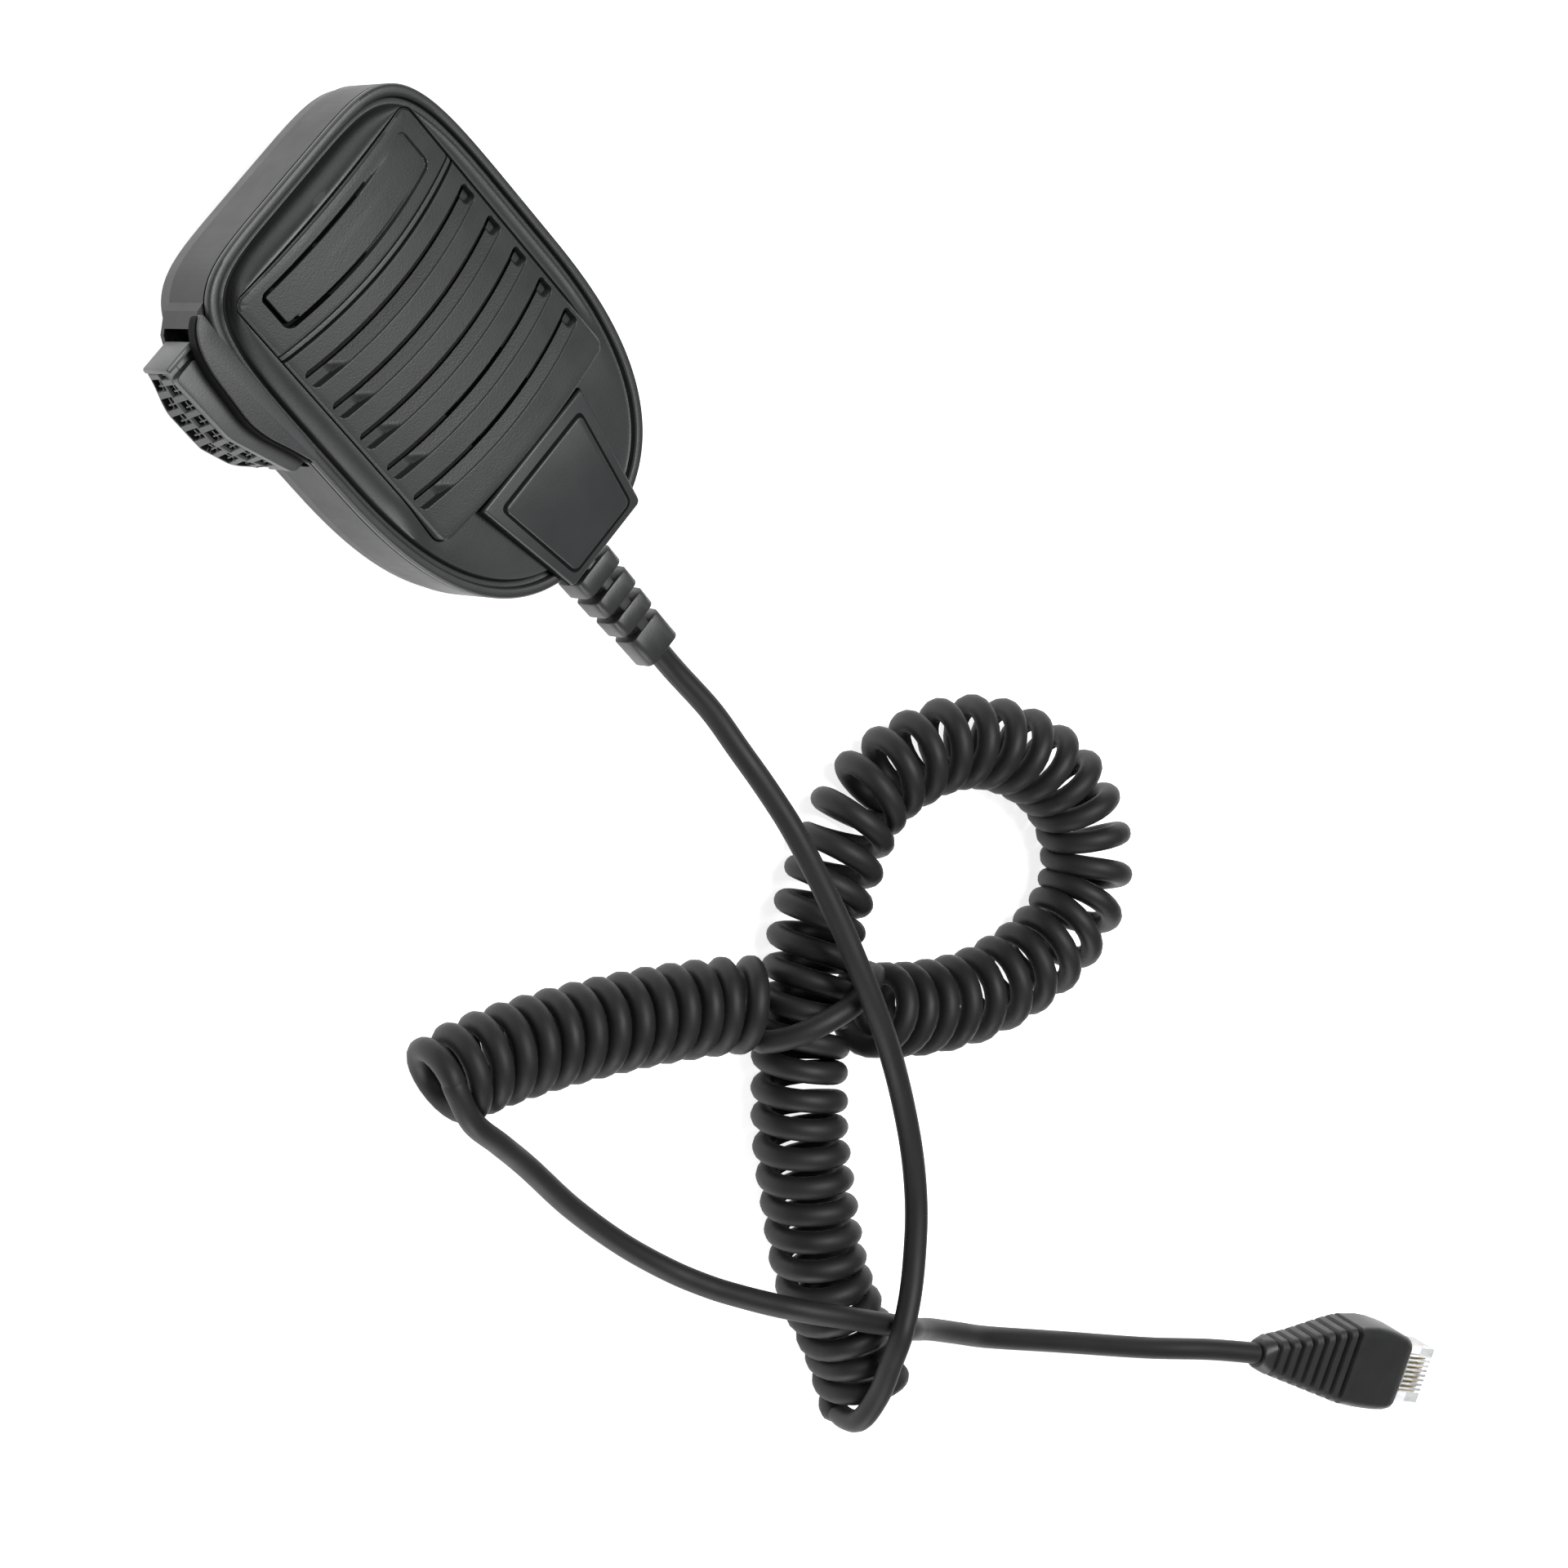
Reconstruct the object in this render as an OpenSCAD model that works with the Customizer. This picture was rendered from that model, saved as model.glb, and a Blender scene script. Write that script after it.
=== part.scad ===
// Hand microphone: palm-sized case with a slotted grille, push-to-talk bar on its
// left side, hanger stud on its back, and a curly cord that ends in a modular plug.
// It lies on its back: +Z comes out of the grille, +Y points to the top end, and the
// origin is the centre of the hanger stud's end face.

/* [Case] */
// Width of the case across its sides
body_w = 58; // [52:1:66]
// Reach of the case above the hanger stud
body_up = 41.5; // [38:0.5:48]
// Reach of the case below the hanger stud
body_down = 42.5; // [40:0.5:48]
// Squareness of the upper corners
square_up = 5.6; // [3:0.2:8]
// Squareness of the lower corners
square_down = 2.5; // [2:0.1:4]
// Wall of the case
wall = 2; // [1.6:0.2:2.6]
// Depth of the rear cover
rear_h = 7; // [6.5:0.5:9]
// Depth of the centre band
band_h = 10.5; // [10.5:0.5:14]
// Height of the front shell's outer rim
rim_h = 1.6; // [1.2:0.2:2.4]
// Width of the rim around the sloped border
rim_w = 1.5; // [1:0.1:2.5]

/* [Grille panel] */
// Width of the panel
panel_w = 44.8; // [40:0.4:47]
// Reach of the panel above the hanger stud
panel_up = 35.5; // [33:0.5:37]
// Reach of the panel below the hanger stud
panel_down = 19; // [17:0.5:21]
// How far the panel's middle stands above its long edges
panel_rise = 2.6; // [1.5:0.1:3.5]
// Thickness of the panel
panel_t = 2; // [1.6:0.2:2.4]
// Number of slots
slot_n = 5; // [3:1:5]
// Distance from slot to slot
slot_pitch = 7; // [5.5:0.25:7.25]
// Width of a slot's recess
slot_w = 3.4; // [2.5:0.1:4.5]
// Width of the open part of a slot
slot_open = 1.2; // [0.8:0.1:2]
// Length of a slot
slot_len = 43; // [34:1:43]
// Place of the first slot above the hanger stud
slot_first = 16; // [14:0.5:17]

/* [Push-to-talk] */
// How far the lever's bend stands out from the side of the case
lever_reach = 9; // [7:0.2:12]
// How much less the grip's top end stands out than its bend
lever_lean = 2.1; // [0.5:0.1:3]
// Upper end of the lever
lever_up = 35; // [33:0.5:36]
// Lower end of the lever
lever_down = 7.2; // [6:0.2:9]
// Thickness of the lever, front to back
lever_t = 7.8; // [6:0.2:8.2]
// Gap around the lever
lever_gap = 1; // [0.8:0.1:1.4]
// Thickness of the grip pad
pad_t = 1.2; // [0.8:0.1:1.6]
// Radius of the hinge pin
pin_r = 1; // [0.8:0.1:1.2]
// Running clearance of a pin or plunger in its hole
run_fit = 0.06; // [0.03:0.01:0.1]

/* [Hanger stud] */
// Radius of the stud's head
stud_r = 4.8; // [4:0.1:6]
// Thickness of the stud's head
stud_head_t = 2; // [1.5:0.1:3]
// Radius of the stud's neck
stud_neck_r = 3; // [2.4:0.1:3.6]
// Height of the stud
stud_h = 6; // [5:0.5:8]

/* [Cord and plug] */
// Diameter of the cord
cord_d = 4.2; // [3.6:0.1:4.6]
// Outer diameter of the coil
coil_d = 17.6; // [16:0.2:18]
// Width of the modular plug
plug_w = 11.68; // [9.65:0.01:12]
// Height of the modular plug
plug_h = 6.6; // [6.2:0.1:7]
// Length of the modular plug
plug_l = 21.5; // [18:0.5:24]
// Number of contacts
contact_n = 8; // [4:1:8]
// Distance from contact to contact
contact_pitch = 1.02; // [1:0.01:1.1]
// Radius of a conductor in the plug
conductor_r = 0.38; // [0.3:0.01:0.42]

/* [Hidden] */

$fn = 64;
eps = 0.01;

// Heights of the case layers
z_back = stud_h;
z_rear = z_back + rear_h;
z_front = z_rear + band_h;
z_rim = z_front + rim_h;
z_floor = z_back + wall;
front_t = 1;
z_ceiling = z_front + 0.8;
z_ledge = z_ceiling + front_t;
z_edge = z_ledge + 2;
z_crown = z_edge + panel_rise;
seam_in = 0.4;
back_in = 3.6;
back_bevel = 3.5;
rear_wall_in = back_in + 0.4;
front_wall_in = wall + 1.6;
gasket_w = 1.3;
gasket_t = 1.2;

// Panel curve: a cylinder lying along Y through both long edges and the crown
panel_r = (panel_w * panel_w / 4 + panel_rise * panel_rise) / (2 * panel_rise);
panel_mid = (panel_up - panel_down) / 2;
panel_len = panel_up + panel_down;
slot_arc = 150;
slot_area_up = slot_first + slot_w;
slot_area_down = min(slot_first - (slot_n - 1) * slot_pitch - slot_w,
    slot_first - 3.5 * slot_pitch - 7.8);
label_low = slot_first + slot_pitch + 1.5;
label_high = panel_up - 2.2;
label_half = panel_w / 2 - 3.6;
label_depth = 1;
label_t = 0.5;
fit = 0.2;

// Nose: the raised block over the cord exit
nose_top = -panel_down - 1.6;
nose_low = -body_down - 0.6;
nose_half_top = 13.5;
nose_half_low = 9.6;
nose_h = 2.2;
z_nose = z_rim + nose_h;
nose_plate_t = 1;
nose_margin = 2.4;

// Push-to-talk pocket and lever
pocket_up = lever_up + lever_gap + 0.3;
pocket_down = lever_down - lever_gap - 0.2;
shelf_t = 1;
liner_t = 1.2;
liner_x = body_w / 2 - wall - 0.8;
z_lever = z_rear + shelf_t + (band_h - 2 * shelf_t - lever_t) / 2;
z_lever_mid = z_lever + lever_t / 2;
lever_out = body_w / 2 + lever_reach;
shoulder_out = lever_out - 5.3;
lever_in = body_w / 2 + 0.6;
lever_bend = lever_down + 11.5;
pivot_x = -(lever_in - 0.9);
pivot_y = lever_down + 4.8;
bar_h = 1.6;
slit_w = 1.3;
boss_y = pivot_y + 10;
boss_w = 3;
boss_hole = boss_w + 2.2;
flange_t = 0.9;
flange_w = boss_hole + 1.2;
spring_y = lever_up - 4;
spring_r = 2;
spring_wire = 0.4;
spring_seat = 2;
spring_coils = 5;

// Board and switch
board_t = 1.6;
z_board = z_floor + 4;
z_board_top = z_board + board_t;
board_half = 17;
board_up = 27.5;
board_down = 22;
switch_l = 5;
switch_w = 6;
switch_h = 6.6;
plunger_w = 2.2;
plunger_out = 2.9;
plunger_in = 1.4;
plunger_travel = 1.1;
plunger_gap = 0.4;
switch_x = -board_half - 0.5;
plunger_x = switch_x - plunger_out;

// Capsule behind the lower slots
capsule_r = 4.85;
capsule_h = 4.6;
boot_r = 6.1;
cup_t = 1.4;
capsule_y = slot_first - 3.5 * slot_pitch;
z_capsule_top = z_crown - panel_t - 0.9;
cloth_t = 0.35;
lead_r = 0.35;

// Screws
screw_r = 1.25;
screw_head_r = 2.5;
screw_head_t = 1.8;
boss_r = 3;
rear_boss_r = 4.2;
screw_places = [[19.5, 29.5], [-19.5, 29.5], [17, -24.5], [-17, -24.5]];
board_places = [[13, 24.4], [-8, 24.4], [13, -17], [-13, -17]];
small_r = 0.9;
small_head_r = 1.9;

// Strain relief and cord exit
z_exit = z_rear - 0.2;
relief_w = 9.6;
relief_h = 7.2;
relief_seg = 3.8;
relief_slot = 1.3;
relief_rings = 3;
relief_last = 6.4;
relief_taper = 0.5;
neck_w = 8.2;
neck_h = 6.4;
neck_out = 5;
neck_in = 5.6;
flange_out = 1.2;
flange_len = 1.2;
relief_start = -body_down - neck_out;
relief_end = relief_start - relief_rings * (relief_seg + relief_slot) - relief_slot - relief_last;
cord_r = cord_d / 2;
coil_r = coil_d / 2;
helix_r = coil_r - cord_r;
tail_in = -33;

// Plug place: centre of the boot's small end, heading, and roll about its own length
plug_at = [0.6, -279, 8.4];
plug_turn = -58;
plug_roll = 12.5;
boot_l = 38;
boot_flare = 25;
boot_small_r = 2.9;
boot_w = 16;
boot_h = 10.4;
rib_n = 8;
plug_front = boot_l + 7.5;
plug_back = plug_front - plug_l;
latch_w = 6;
latch_t = 1;
latch_l = 12.5;
latch_drop = 14;
latch_hinge = [plug_front - 2, -plug_h / 2 - 0.7];

// Routes in the part's own frame: lead, coil axis, bridge over the coil, coil axis, lead
mic_route = [[0, relief_end, z_exit], [0, relief_end - 6, 12.8], [-0.3, -86, 14],
    [-2, -94, 16], [-4, -102, 18.5], [-6.2, -110, 20.5], [-9, -118.5, 22],
    [-12.5, -128, 23.5], [-15.5, -135, 24.6], [-18.7, -143.5, 25], [-21.9, -152.5, 24.2],
    [-26, -162.5, 22.7], [-31, -171.5, 21.8], [-36.8, -179, 21.4], [-43.2, -184.3, 21.9],
    [-49.9, -188, 23.2], [-56.2, -190.6, 24.1], [-61, -194, 22.2], [-65.5, -197.7, 19.6],
    [-70, -200.7, 15.6]];
main_axis = [[-64.4, -204.6, 8.8], [-61.6, -199.2, 8.8], [-59, -193.5, 8.8],
    [-57, -187, 8.8], [-55, -181.5, 8.8], [-52, -176, 8.8], [-49, -171.5, 8.8],
    [-45.5, -166.5, 8.8], [-42, -161.5, 8.8], [-38, -156.5, 8.8], [-34, -152.5, 8.8],
    [-30, -148.5, 8.8], [-25.5, -145, 8.8], [-21.5, -141.8, 8.8], [-16.5, -138.5, 8.8],
    [-12, -135.5, 8.8], [-6.5, -132.5, 8.8], [-0.5, -130, 8.8], [5, -128, 8.8],
    [9.5, -126.7, 8.8], [14, -126.2, 8.8], [20, -127.2, 8.8], [26.3, -129.7, 8.8],
    [32.8, -133.5, 8.8], [38.6, -139.3, 8.8], [43.4, -147.5, 8.8], [46, -157, 8.8],
    [45.5, -165, 8.8], [42.5, -172, 8.8], [37.5, -177, 8.8], [31.5, -179.3, 8.8],
    [25, -179.3, 8.8], [18.3, -178, 8.8], [12, -175.5, 8.8], [5.8, -172.3, 8.8],
    [0, -168, 8.8], [-5.4, -162.8, 9.3], [-10.5, -157, 10.5], [-15.2, -150.5, 12]];
bridge_route = [[-14.4, -151.6, 16.8], [-17, -145.5, 19.4], [-21.8, -141.6, 20.3],
    [-26.6, -137.7, 19.4], [-29.4, -131.7, 16.8]];
end_axis = [[-28.6, -132.7, 12], [-32.2, -128.8, 10.5], [-36.4, -124.7, 9.3],
    [-44, -117.5, 8.8], [-52, -110.5, 8.8], [-59.5, -104.3, 8.8], [-67, -98.7, 8.8],
    [-72.5, -95, 8.8], [-77, -92.5, 8.8], [-81.5, -90.6, 8.8]];
plug_route = [[-81.6, -92, 15], [-83, -97, 15], [-81.4, -105.5, 12.2], [-79.6, -115.2, 8.6],
    [-77.9, -129.9, 5], [-75.7, -143.5, 4], [-73.1, -154.5, 5.2], [-71, -161.2, 8.6],
    [-69, -165.8, 12], [-67.2, -169.4, 14.8], [-65.4, -172.6, 17.4], [-63.4, -176, 19.3],
    [-60.8, -180.3, 20.3], [-58.2, -185, 20.3], [-55.4, -190, 19.7], [-52.2, -196.4, 17.3],
    [-49.2, -202.2, 12.5], [-45.9, -208, 8.5], [-41, -217, 5], [-36.5, -225, 3],
    [-26, -241, 2.4], [-14, -259, 3.2], [-5.5, -270.2, 6], plug_at];

// --- Shared shapes -----------------------------------------------------------------

// Case outline in plan, drawn in by the given amount
function outline(inset = 0, steps = 32) = [
    for (i = [0 : 4 * steps - 1])
        let (a = 90 * i / steps, c = cos(a), s = sin(a))
        let (e = s >= 0 ? square_up : square_down, reach = s >= 0 ? body_up : body_down)
        [(body_w / 2 - inset) * sign(c) * pow(abs(c), 2 / e),
            (reach - inset) * sign(s) * pow(abs(s), 2 / e)]];

function unit(v) = v / norm(v);

// Ring of points around place i of the path, which never runs along ref
function ring_at(path, i, r, sides, ref) =
    let (n = len(path), along = unit(path[min(i + 1, n - 1)] - path[max(i - 1, 0)]))
    let (side = unit(cross(along, ref)), up = cross(side, along))
    [for (k = [0 : sides - 1])
        path[i] + r * (cos(360 * k / sides) * side + sin(360 * k / sides) * up)];

// Closed tube along a path of points
module tube(path, r, sides, ref = [0, 0, 1]) {
    n = len(path);
    points = [for (i = [0 : n - 1]) each ring_at(path, i, r, sides, ref)];
    walls = [for (i = [0 : n - 2]) for (k = [0 : sides - 1])
        [i * sides + k, i * sides + (k + 1) % sides,
            (i + 1) * sides + (k + 1) % sides, (i + 1) * sides + k]];
    start = [for (k = [0 : sides - 1]) sides - 1 - k];
    finish = [for (k = [0 : sides - 1]) (n - 1) * sides + k];
    polyhedron(points, concat([start], walls, [finish]), convexity = 6);
}

module slab(z0, z1, inset = 0) {
    translate([0, 0, z0])
        linear_extrude(z1 - z0) polygon(outline(inset));
}

module rounded(w, h, r) {
    square([w - 2 * r, h], center = true);
    square([w, h - 2 * r], center = true);
    for (x = [-1, 1], y = [-1, 1])
        translate([x * (w / 2 - r), y * (h / 2 - r)]) circle(r);
}

// Box given by its low and high corners
module block(low, high) {
    translate(low) cube(high - low);
}

// Solid between two depths under the panel's curved face
module panel_layer(top, bottom) {
    translate([0, panel_mid, z_crown - panel_r]) rotate([90, 0, 0]) difference() {
        cylinder(r = panel_r - top, h = panel_len + 2, center = true, $fn = 240);
        cylinder(r = panel_r - bottom, h = panel_len + 4, center = true, $fn = 240);
    }
}

// Plan of slot i, a shallow arc that bows towards the cord end
module slot_plan(i, w) {
    y = slot_first - i * slot_pitch;
    intersection() {
        translate([0, y + slot_arc]) difference() {
            circle(slot_arc + w / 2, $fn = 720);
            circle(slot_arc - w / 2, $fn = 720);
        }
        translate([-slot_len / 2, y - 6]) square([slot_len, 12]);
    }
}

// Plan of the blank label area
module label_plan(gap) {
    polygon([[-label_half + gap, label_low + gap], [label_half - gap, label_low + gap],
        [label_half - 1.2 - gap, label_high - gap], [-label_half + 1.2 + gap, label_high - gap]]);
}

// Plan of the nose block, drawn in by the given amount
module nose_plan(inset) {
    polygon([[-nose_half_top + inset, nose_top - inset], [nose_half_top - inset, nose_top - inset],
        [nose_half_low - inset * 0.8, nose_low], [-nose_half_low + inset * 0.8, nose_low]]);
}

// Plan of the shoulder that the case carries beside the push-to-talk lever
module shoulder_plan() {
    polygon([[-20, pocket_up + 2.4], [-body_w / 2 + 3, pocket_up + 1.6],
        [-body_w / 2 - 0.2, pocket_up - 0.6], [-shoulder_out + 2, pocket_up - 3.4],
        [-shoulder_out + 0.9, pocket_up - 7], [-shoulder_out, lever_bend + 1],
        [-shoulder_out + 0.7, lever_bend - 3], [-shoulder_out + 2.7, lever_down + 3.8],
        [-body_w / 2 + 0.6, pocket_down - 2], [-20, pocket_down - 2]]);
}

// Outer edge of the lever in plan, drawn in by the given amount
function lever_edge(inset) = [
    [-lever_out + lever_lean + inset, lever_up],
    [-lever_out + inset, lever_bend + 0.4],
    [-lever_out + 3.1 + inset, lever_down + 4],
    [-lever_in - 1.7 + inset, lever_down + 0.2]];

// Outer edge of the grip pad, which stops short of the hinge
function pad_edge(inset) = [
    [-lever_out + lever_lean + inset, lever_up],
    [-lever_out + inset, lever_bend + 0.4],
    [-lever_out + 3.1 + inset, lever_down + 4]];

module lever_plan(inset) {
    polygon(concat([[-lever_in, lever_up]], lever_edge(inset),
        [[-lever_in - 0.4, lever_down], [-lever_in, lever_down + 1.6]]));
}

module screw(r, head_r, head_t, length) {
    cylinder(r = head_r, h = head_t);
    cylinder(r = r, h = length);
}

// --- Case --------------------------------------------------------------------------

module front_shell() {
    color([0.22, 0.23, 0.24]) difference() {
        union() {
            slab(z_front, z_rim);
            // Border that slopes up from the rim to the panel
            hull() {
                slab(z_rim - eps, z_rim, rim_w);
                translate([0, panel_mid, z_edge - 0.4]) linear_extrude(eps)
                    rounded(panel_w + 3, panel_len + 3, 4);
            }
            translate([0, 0, z_front]) linear_extrude(rim_h) shoulder_plan();
            translate([0, 0, z_front]) linear_extrude(z_nose - z_front) nose_plan(0);
            for (at = screw_places)
                translate([at[0], at[1], z_rear + 0.2]) cylinder(r = boss_r, h = z_ceiling - z_rear);
        }
        difference() {
            slab(z_front - 1, z_ceiling, front_wall_in);
            for (at = screw_places)
                translate([at[0], at[1], z_front - 2]) cylinder(r = boss_r, h = 5);
        }
        // Opening under the slots, seat of the panel, and seat of the nose plate
        block([-slot_len / 2 + 1, slot_area_down, z_ceiling - 1],
            [slot_len / 2 - 1, slot_area_up, z_crown]);
        block([-panel_w / 2 - fit, -panel_down - fit, z_ledge],
            [panel_w / 2 + fit, panel_up + fit, z_crown + 1]);
        translate([0, 0, z_nose - nose_plate_t]) linear_extrude(nose_plate_t + 1)
            nose_plan(nose_margin - fit);
        for (at = screw_places)
            translate([at[0], at[1], z_rear]) cylinder(r = screw_r, h = z_ceiling - z_rear - 1.5);
    }
}

module grille_panel() {
    color([0.26, 0.27, 0.28]) difference() {
        union() {
            intersection() {
                block([-panel_w / 2, -panel_down, z_ledge], [panel_w / 2, panel_up, z_crown]);
                panel_layer(0, panel_t);
            }
            // Skirt that stands on the front shell's ledge
            intersection() {
                difference() {
                    block([-panel_w / 2, -panel_down, z_ledge], [panel_w / 2, panel_up, z_crown]);
                    block([-panel_w / 2 + 1.4, -panel_down + 1.4, z_ledge - 1],
                        [panel_w / 2 - 1.4, panel_up - 1.4, z_crown + 1]);
                }
                panel_layer(0, z_crown);
            }
            // Cup that holds the capsule's boot
            intersection() {
                translate([0, capsule_y, z_capsule_top - capsule_h - 1]) difference() {
                    cylinder(r = boot_r + cup_t, h = 9);
                    translate([0, 0, -1]) cylinder(r = boot_r + 0.05, h = 11);
                }
                panel_layer(panel_t - 0.5, z_crown);
            }
        }
        for (i = [0 : slot_n - 1]) {
            intersection() {
                translate([0, 0, z_ledge]) linear_extrude(9) slot_plan(i, slot_w);
                panel_layer(-1, 0.9);
            }
            translate([0, 0, z_ceiling]) linear_extrude(9) slot_plan(i, slot_open);
        }
        intersection() {
            translate([0, 0, z_ledge]) linear_extrude(9) label_plan(0);
            panel_layer(-1, label_depth);
        }
    }
}

module label_plate() {
    color([0.3, 0.31, 0.32]) intersection() {
        translate([0, 0, z_ledge]) linear_extrude(9) label_plan(fit);
        panel_layer(label_depth - label_t, label_depth);
    }
}

module nose_plate() {
    color([0.2, 0.21, 0.22]) translate([0, 0, z_nose - nose_plate_t])
        linear_extrude(nose_plate_t + 0.3) nose_plan(nose_margin);
}

module centre_band() {
    color([0.17, 0.18, 0.19]) difference() {
        union() {
            difference() {
                union() {
                    slab(z_rear, z_front);
                    translate([0, 0, z_rear]) linear_extrude(band_h) shoulder_plan();
                }
                slab(z_rear - 1, z_front - gasket_t - 1, wall);
                slab(z_rear - 1, z_front + 1, wall + gasket_w);
                slab(z_front - gasket_t, z_front + 1, wall);
            }
            intersection() {
                block([-liner_x, pocket_down - 1.5, z_rear],
                    [-liner_x + liner_t, pocket_up + 1.5, z_front - gasket_t - 1]);
                slab(z_rear, z_front, wall - 0.5);
            }
            // Shelves above and below the lever that hold the hinge pin
            intersection() {
                union() {
                    slab(z_rear, z_front);
                    translate([0, 0, z_rear]) linear_extrude(band_h) shoulder_plan();
                }
                union() {
                    block([-lever_out, pocket_down - 1, z_rear],
                        [-liner_x, pocket_up + 1, z_rear + shelf_t]);
                    block([-lever_out, pocket_down - 1, z_front - shelf_t],
                        [-liner_x - 1.2, pocket_up + 1, z_front]);
                }
            }
        }
        // Pocket for the lever
        block([-lever_out - 2, pocket_down, z_rear + shelf_t], [-liner_x, pocket_up, z_front - shelf_t]);
        translate([-liner_x, boss_y, z_lever_mid])
            cube([2 * liner_t + 2, boss_hole, boss_hole], center = true);
        translate([pivot_x, pivot_y, z_rear - 1]) cylinder(r = pin_r, h = band_h + 2);
        // Half of the strain relief's way out
        translate([0, -body_down, z_exit]) cube([neck_w + 0.1, 2 * neck_in, neck_h + 0.1], center = true);
    }
}

module rear_cover() {
    color([0.17, 0.18, 0.19]) difference() {
        union() {
            difference() {
                union() {
                    slab(z_back + back_bevel, z_rear, seam_in);
                    hull() {
                        slab(z_back, z_back + eps, back_in);
                        slab(z_back + back_bevel, z_back + back_bevel + eps, seam_in);
                    }
                }
                slab(z_floor, z_rear + 1, rear_wall_in);
            }
            for (at = screw_places)
                translate([at[0], at[1], z_back]) cylinder(r = rear_boss_r, h = rear_h);
            for (at = board_places)
                translate([at[0], at[1], z_back]) cylinder(r = 2.6, h = z_board - z_back);
            for (x = [-1, 1])
                translate([x * 6, tail_in - 1.5, z_back]) cylinder(r = 2.2, h = z_exit - z_back);
        }
        for (at = screw_places) {
            translate([at[0], at[1], z_back - 1]) cylinder(r = screw_head_r + 0.4, h = screw_head_t + 1.6);
            translate([at[0], at[1], z_back]) cylinder(r = screw_r + 0.25, h = rear_h + 1);
        }
        for (at = board_places)
            translate([at[0], at[1], z_floor + 0.5]) cylinder(r = small_r, h = 9);
        for (x = [-1, 1])
            translate([x * 6, tail_in - 1.5, z_floor + 0.5]) cylinder(r = small_r, h = 9);
        translate([0, 0, z_back - 1]) cylinder(r = screw_r + 0.25, h = wall + 2);
        translate([0, -body_down, z_exit])
            cube([neck_w + 0.1, 2 * neck_in + 1.5, neck_h + 0.1], center = true);
        // Pocket for the strain relief's inner flange
        translate([0, -body_down + neck_in - 0.2 - flange_len / 2, z_exit])
            cube([neck_w + 2 * flange_out + 0.1, flange_len + 0.1,
                neck_h + 2 * flange_out + 0.1], center = true);
    }
}

module case_gasket() {
    color([0.1, 0.1, 0.1]) difference() {
        slab(z_front - gasket_t, z_front, wall);
        slab(z_front - gasket_t - 1, z_front + 1, wall + gasket_w);
        block([-lever_out, pocket_down - 2, z_rear],
            [-liner_x + liner_t + 0.2, pocket_up + 2, z_front + 1]);
    }
}

module case_screws() {
    color([0.7, 0.7, 0.72]) for (at = screw_places)
        translate([at[0], at[1], z_back + 0.6])
            screw(screw_r, screw_head_r, screw_head_t, z_ceiling - z_back - 4);
}

// --- Hanger stud -------------------------------------------------------------------

module hanger_stud() {
    color([0.75, 0.76, 0.78]) difference() {
        union() {
            cylinder(r = stud_r, h = stud_head_t);
            cylinder(r = stud_neck_r, h = stud_h);
        }
        translate([0, 0, stud_h - 4]) cylinder(r = screw_r, h = 5);
    }
}

module hanger_screw() {
    color([0.72, 0.72, 0.74]) translate([0, 0, stud_h - 3.5]) {
        cylinder(r = screw_r, h = 3.5 + wall + 0.5);
        translate([0, 0, 3.5 + wall + 0.5]) cylinder(r = 2.6, h = 1.5);
    }
}

module hanger_terminal() {
    color([0.8, 0.7, 0.4]) translate([0, 0, z_floor]) difference() {
        union() {
            cylinder(r = 3.2, h = 0.5);
            block([-1, 2.5, 0], [1, 9, 0.5]);
        }
        translate([0, 0, -1]) cylinder(r = screw_r + 0.1, h = 3);
    }
}

// --- Sound path --------------------------------------------------------------------

module acoustic_cloth() {
    color([0.08, 0.08, 0.09]) {
        intersection() {
            difference() {
                block([-slot_len / 2 + 1.2, slot_area_down + 0.2, z_ledge],
                    [slot_len / 2 - 1.2, slot_area_up - 0.2, z_crown]);
                translate([0, capsule_y, z_crown]) cube(2 * (boot_r + cup_t + 0.1), center = true);
            }
            panel_layer(panel_t, panel_t + cloth_t);
        }
        // Disc over the capsule
        translate([0, capsule_y, z_capsule_top]) cylinder(r = boot_r, h = cloth_t);
    }
}

module capsule_boot() {
    color([0.12, 0.12, 0.13]) translate([0, capsule_y, z_capsule_top - capsule_h - 0.9]) difference() {
        cylinder(r = boot_r, h = capsule_h + 0.9);
        translate([0, 0, 0.9]) cylinder(r = capsule_r, h = capsule_h + 1);
        translate([0, 0, -1]) cylinder(r = 3, h = 3);
    }
}

module microphone_capsule() {
    color([0.72, 0.72, 0.72]) translate([0, capsule_y, z_capsule_top - capsule_h])
        cylinder(r = capsule_r, h = capsule_h - 0.2);
}

module capsule_leads() {
    color([0.8, 0.75, 0.5]) for (x = [-1.3, 1.3])
        translate([x, capsule_y, z_board_top])
            cylinder(r = lead_r, h = z_capsule_top - capsule_h - z_board_top, $fn = 24);
}

// --- Circuit board -----------------------------------------------------------------

module circuit_board() {
    color([0.1, 0.35, 0.2]) difference() {
        union() {
            block([-board_half, -board_down, z_board], [board_half, board_up, z_board_top]);
            block([switch_x, boss_y - switch_w / 2 - 0.5, z_board],
                [0, boss_y + switch_w / 2 + 0.5, z_board_top]);
        }
        for (at = board_places)
            translate([at[0], at[1], z_board - 1]) cylinder(r = small_r + 0.1, h = 4);
        for (at = screw_places)
            translate([at[0], at[1], z_board - 1]) cylinder(r = rear_boss_r + 0.3, h = 4);
    }
}

module board_screws() {
    color([0.75, 0.75, 0.75]) for (at = board_places)
        translate([at[0], at[1], z_board_top]) {
            cylinder(r = small_head_r, h = 1.2);
            translate([0, 0, -3.5]) cylinder(r = small_r, h = 3.5);
        }
}

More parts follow.
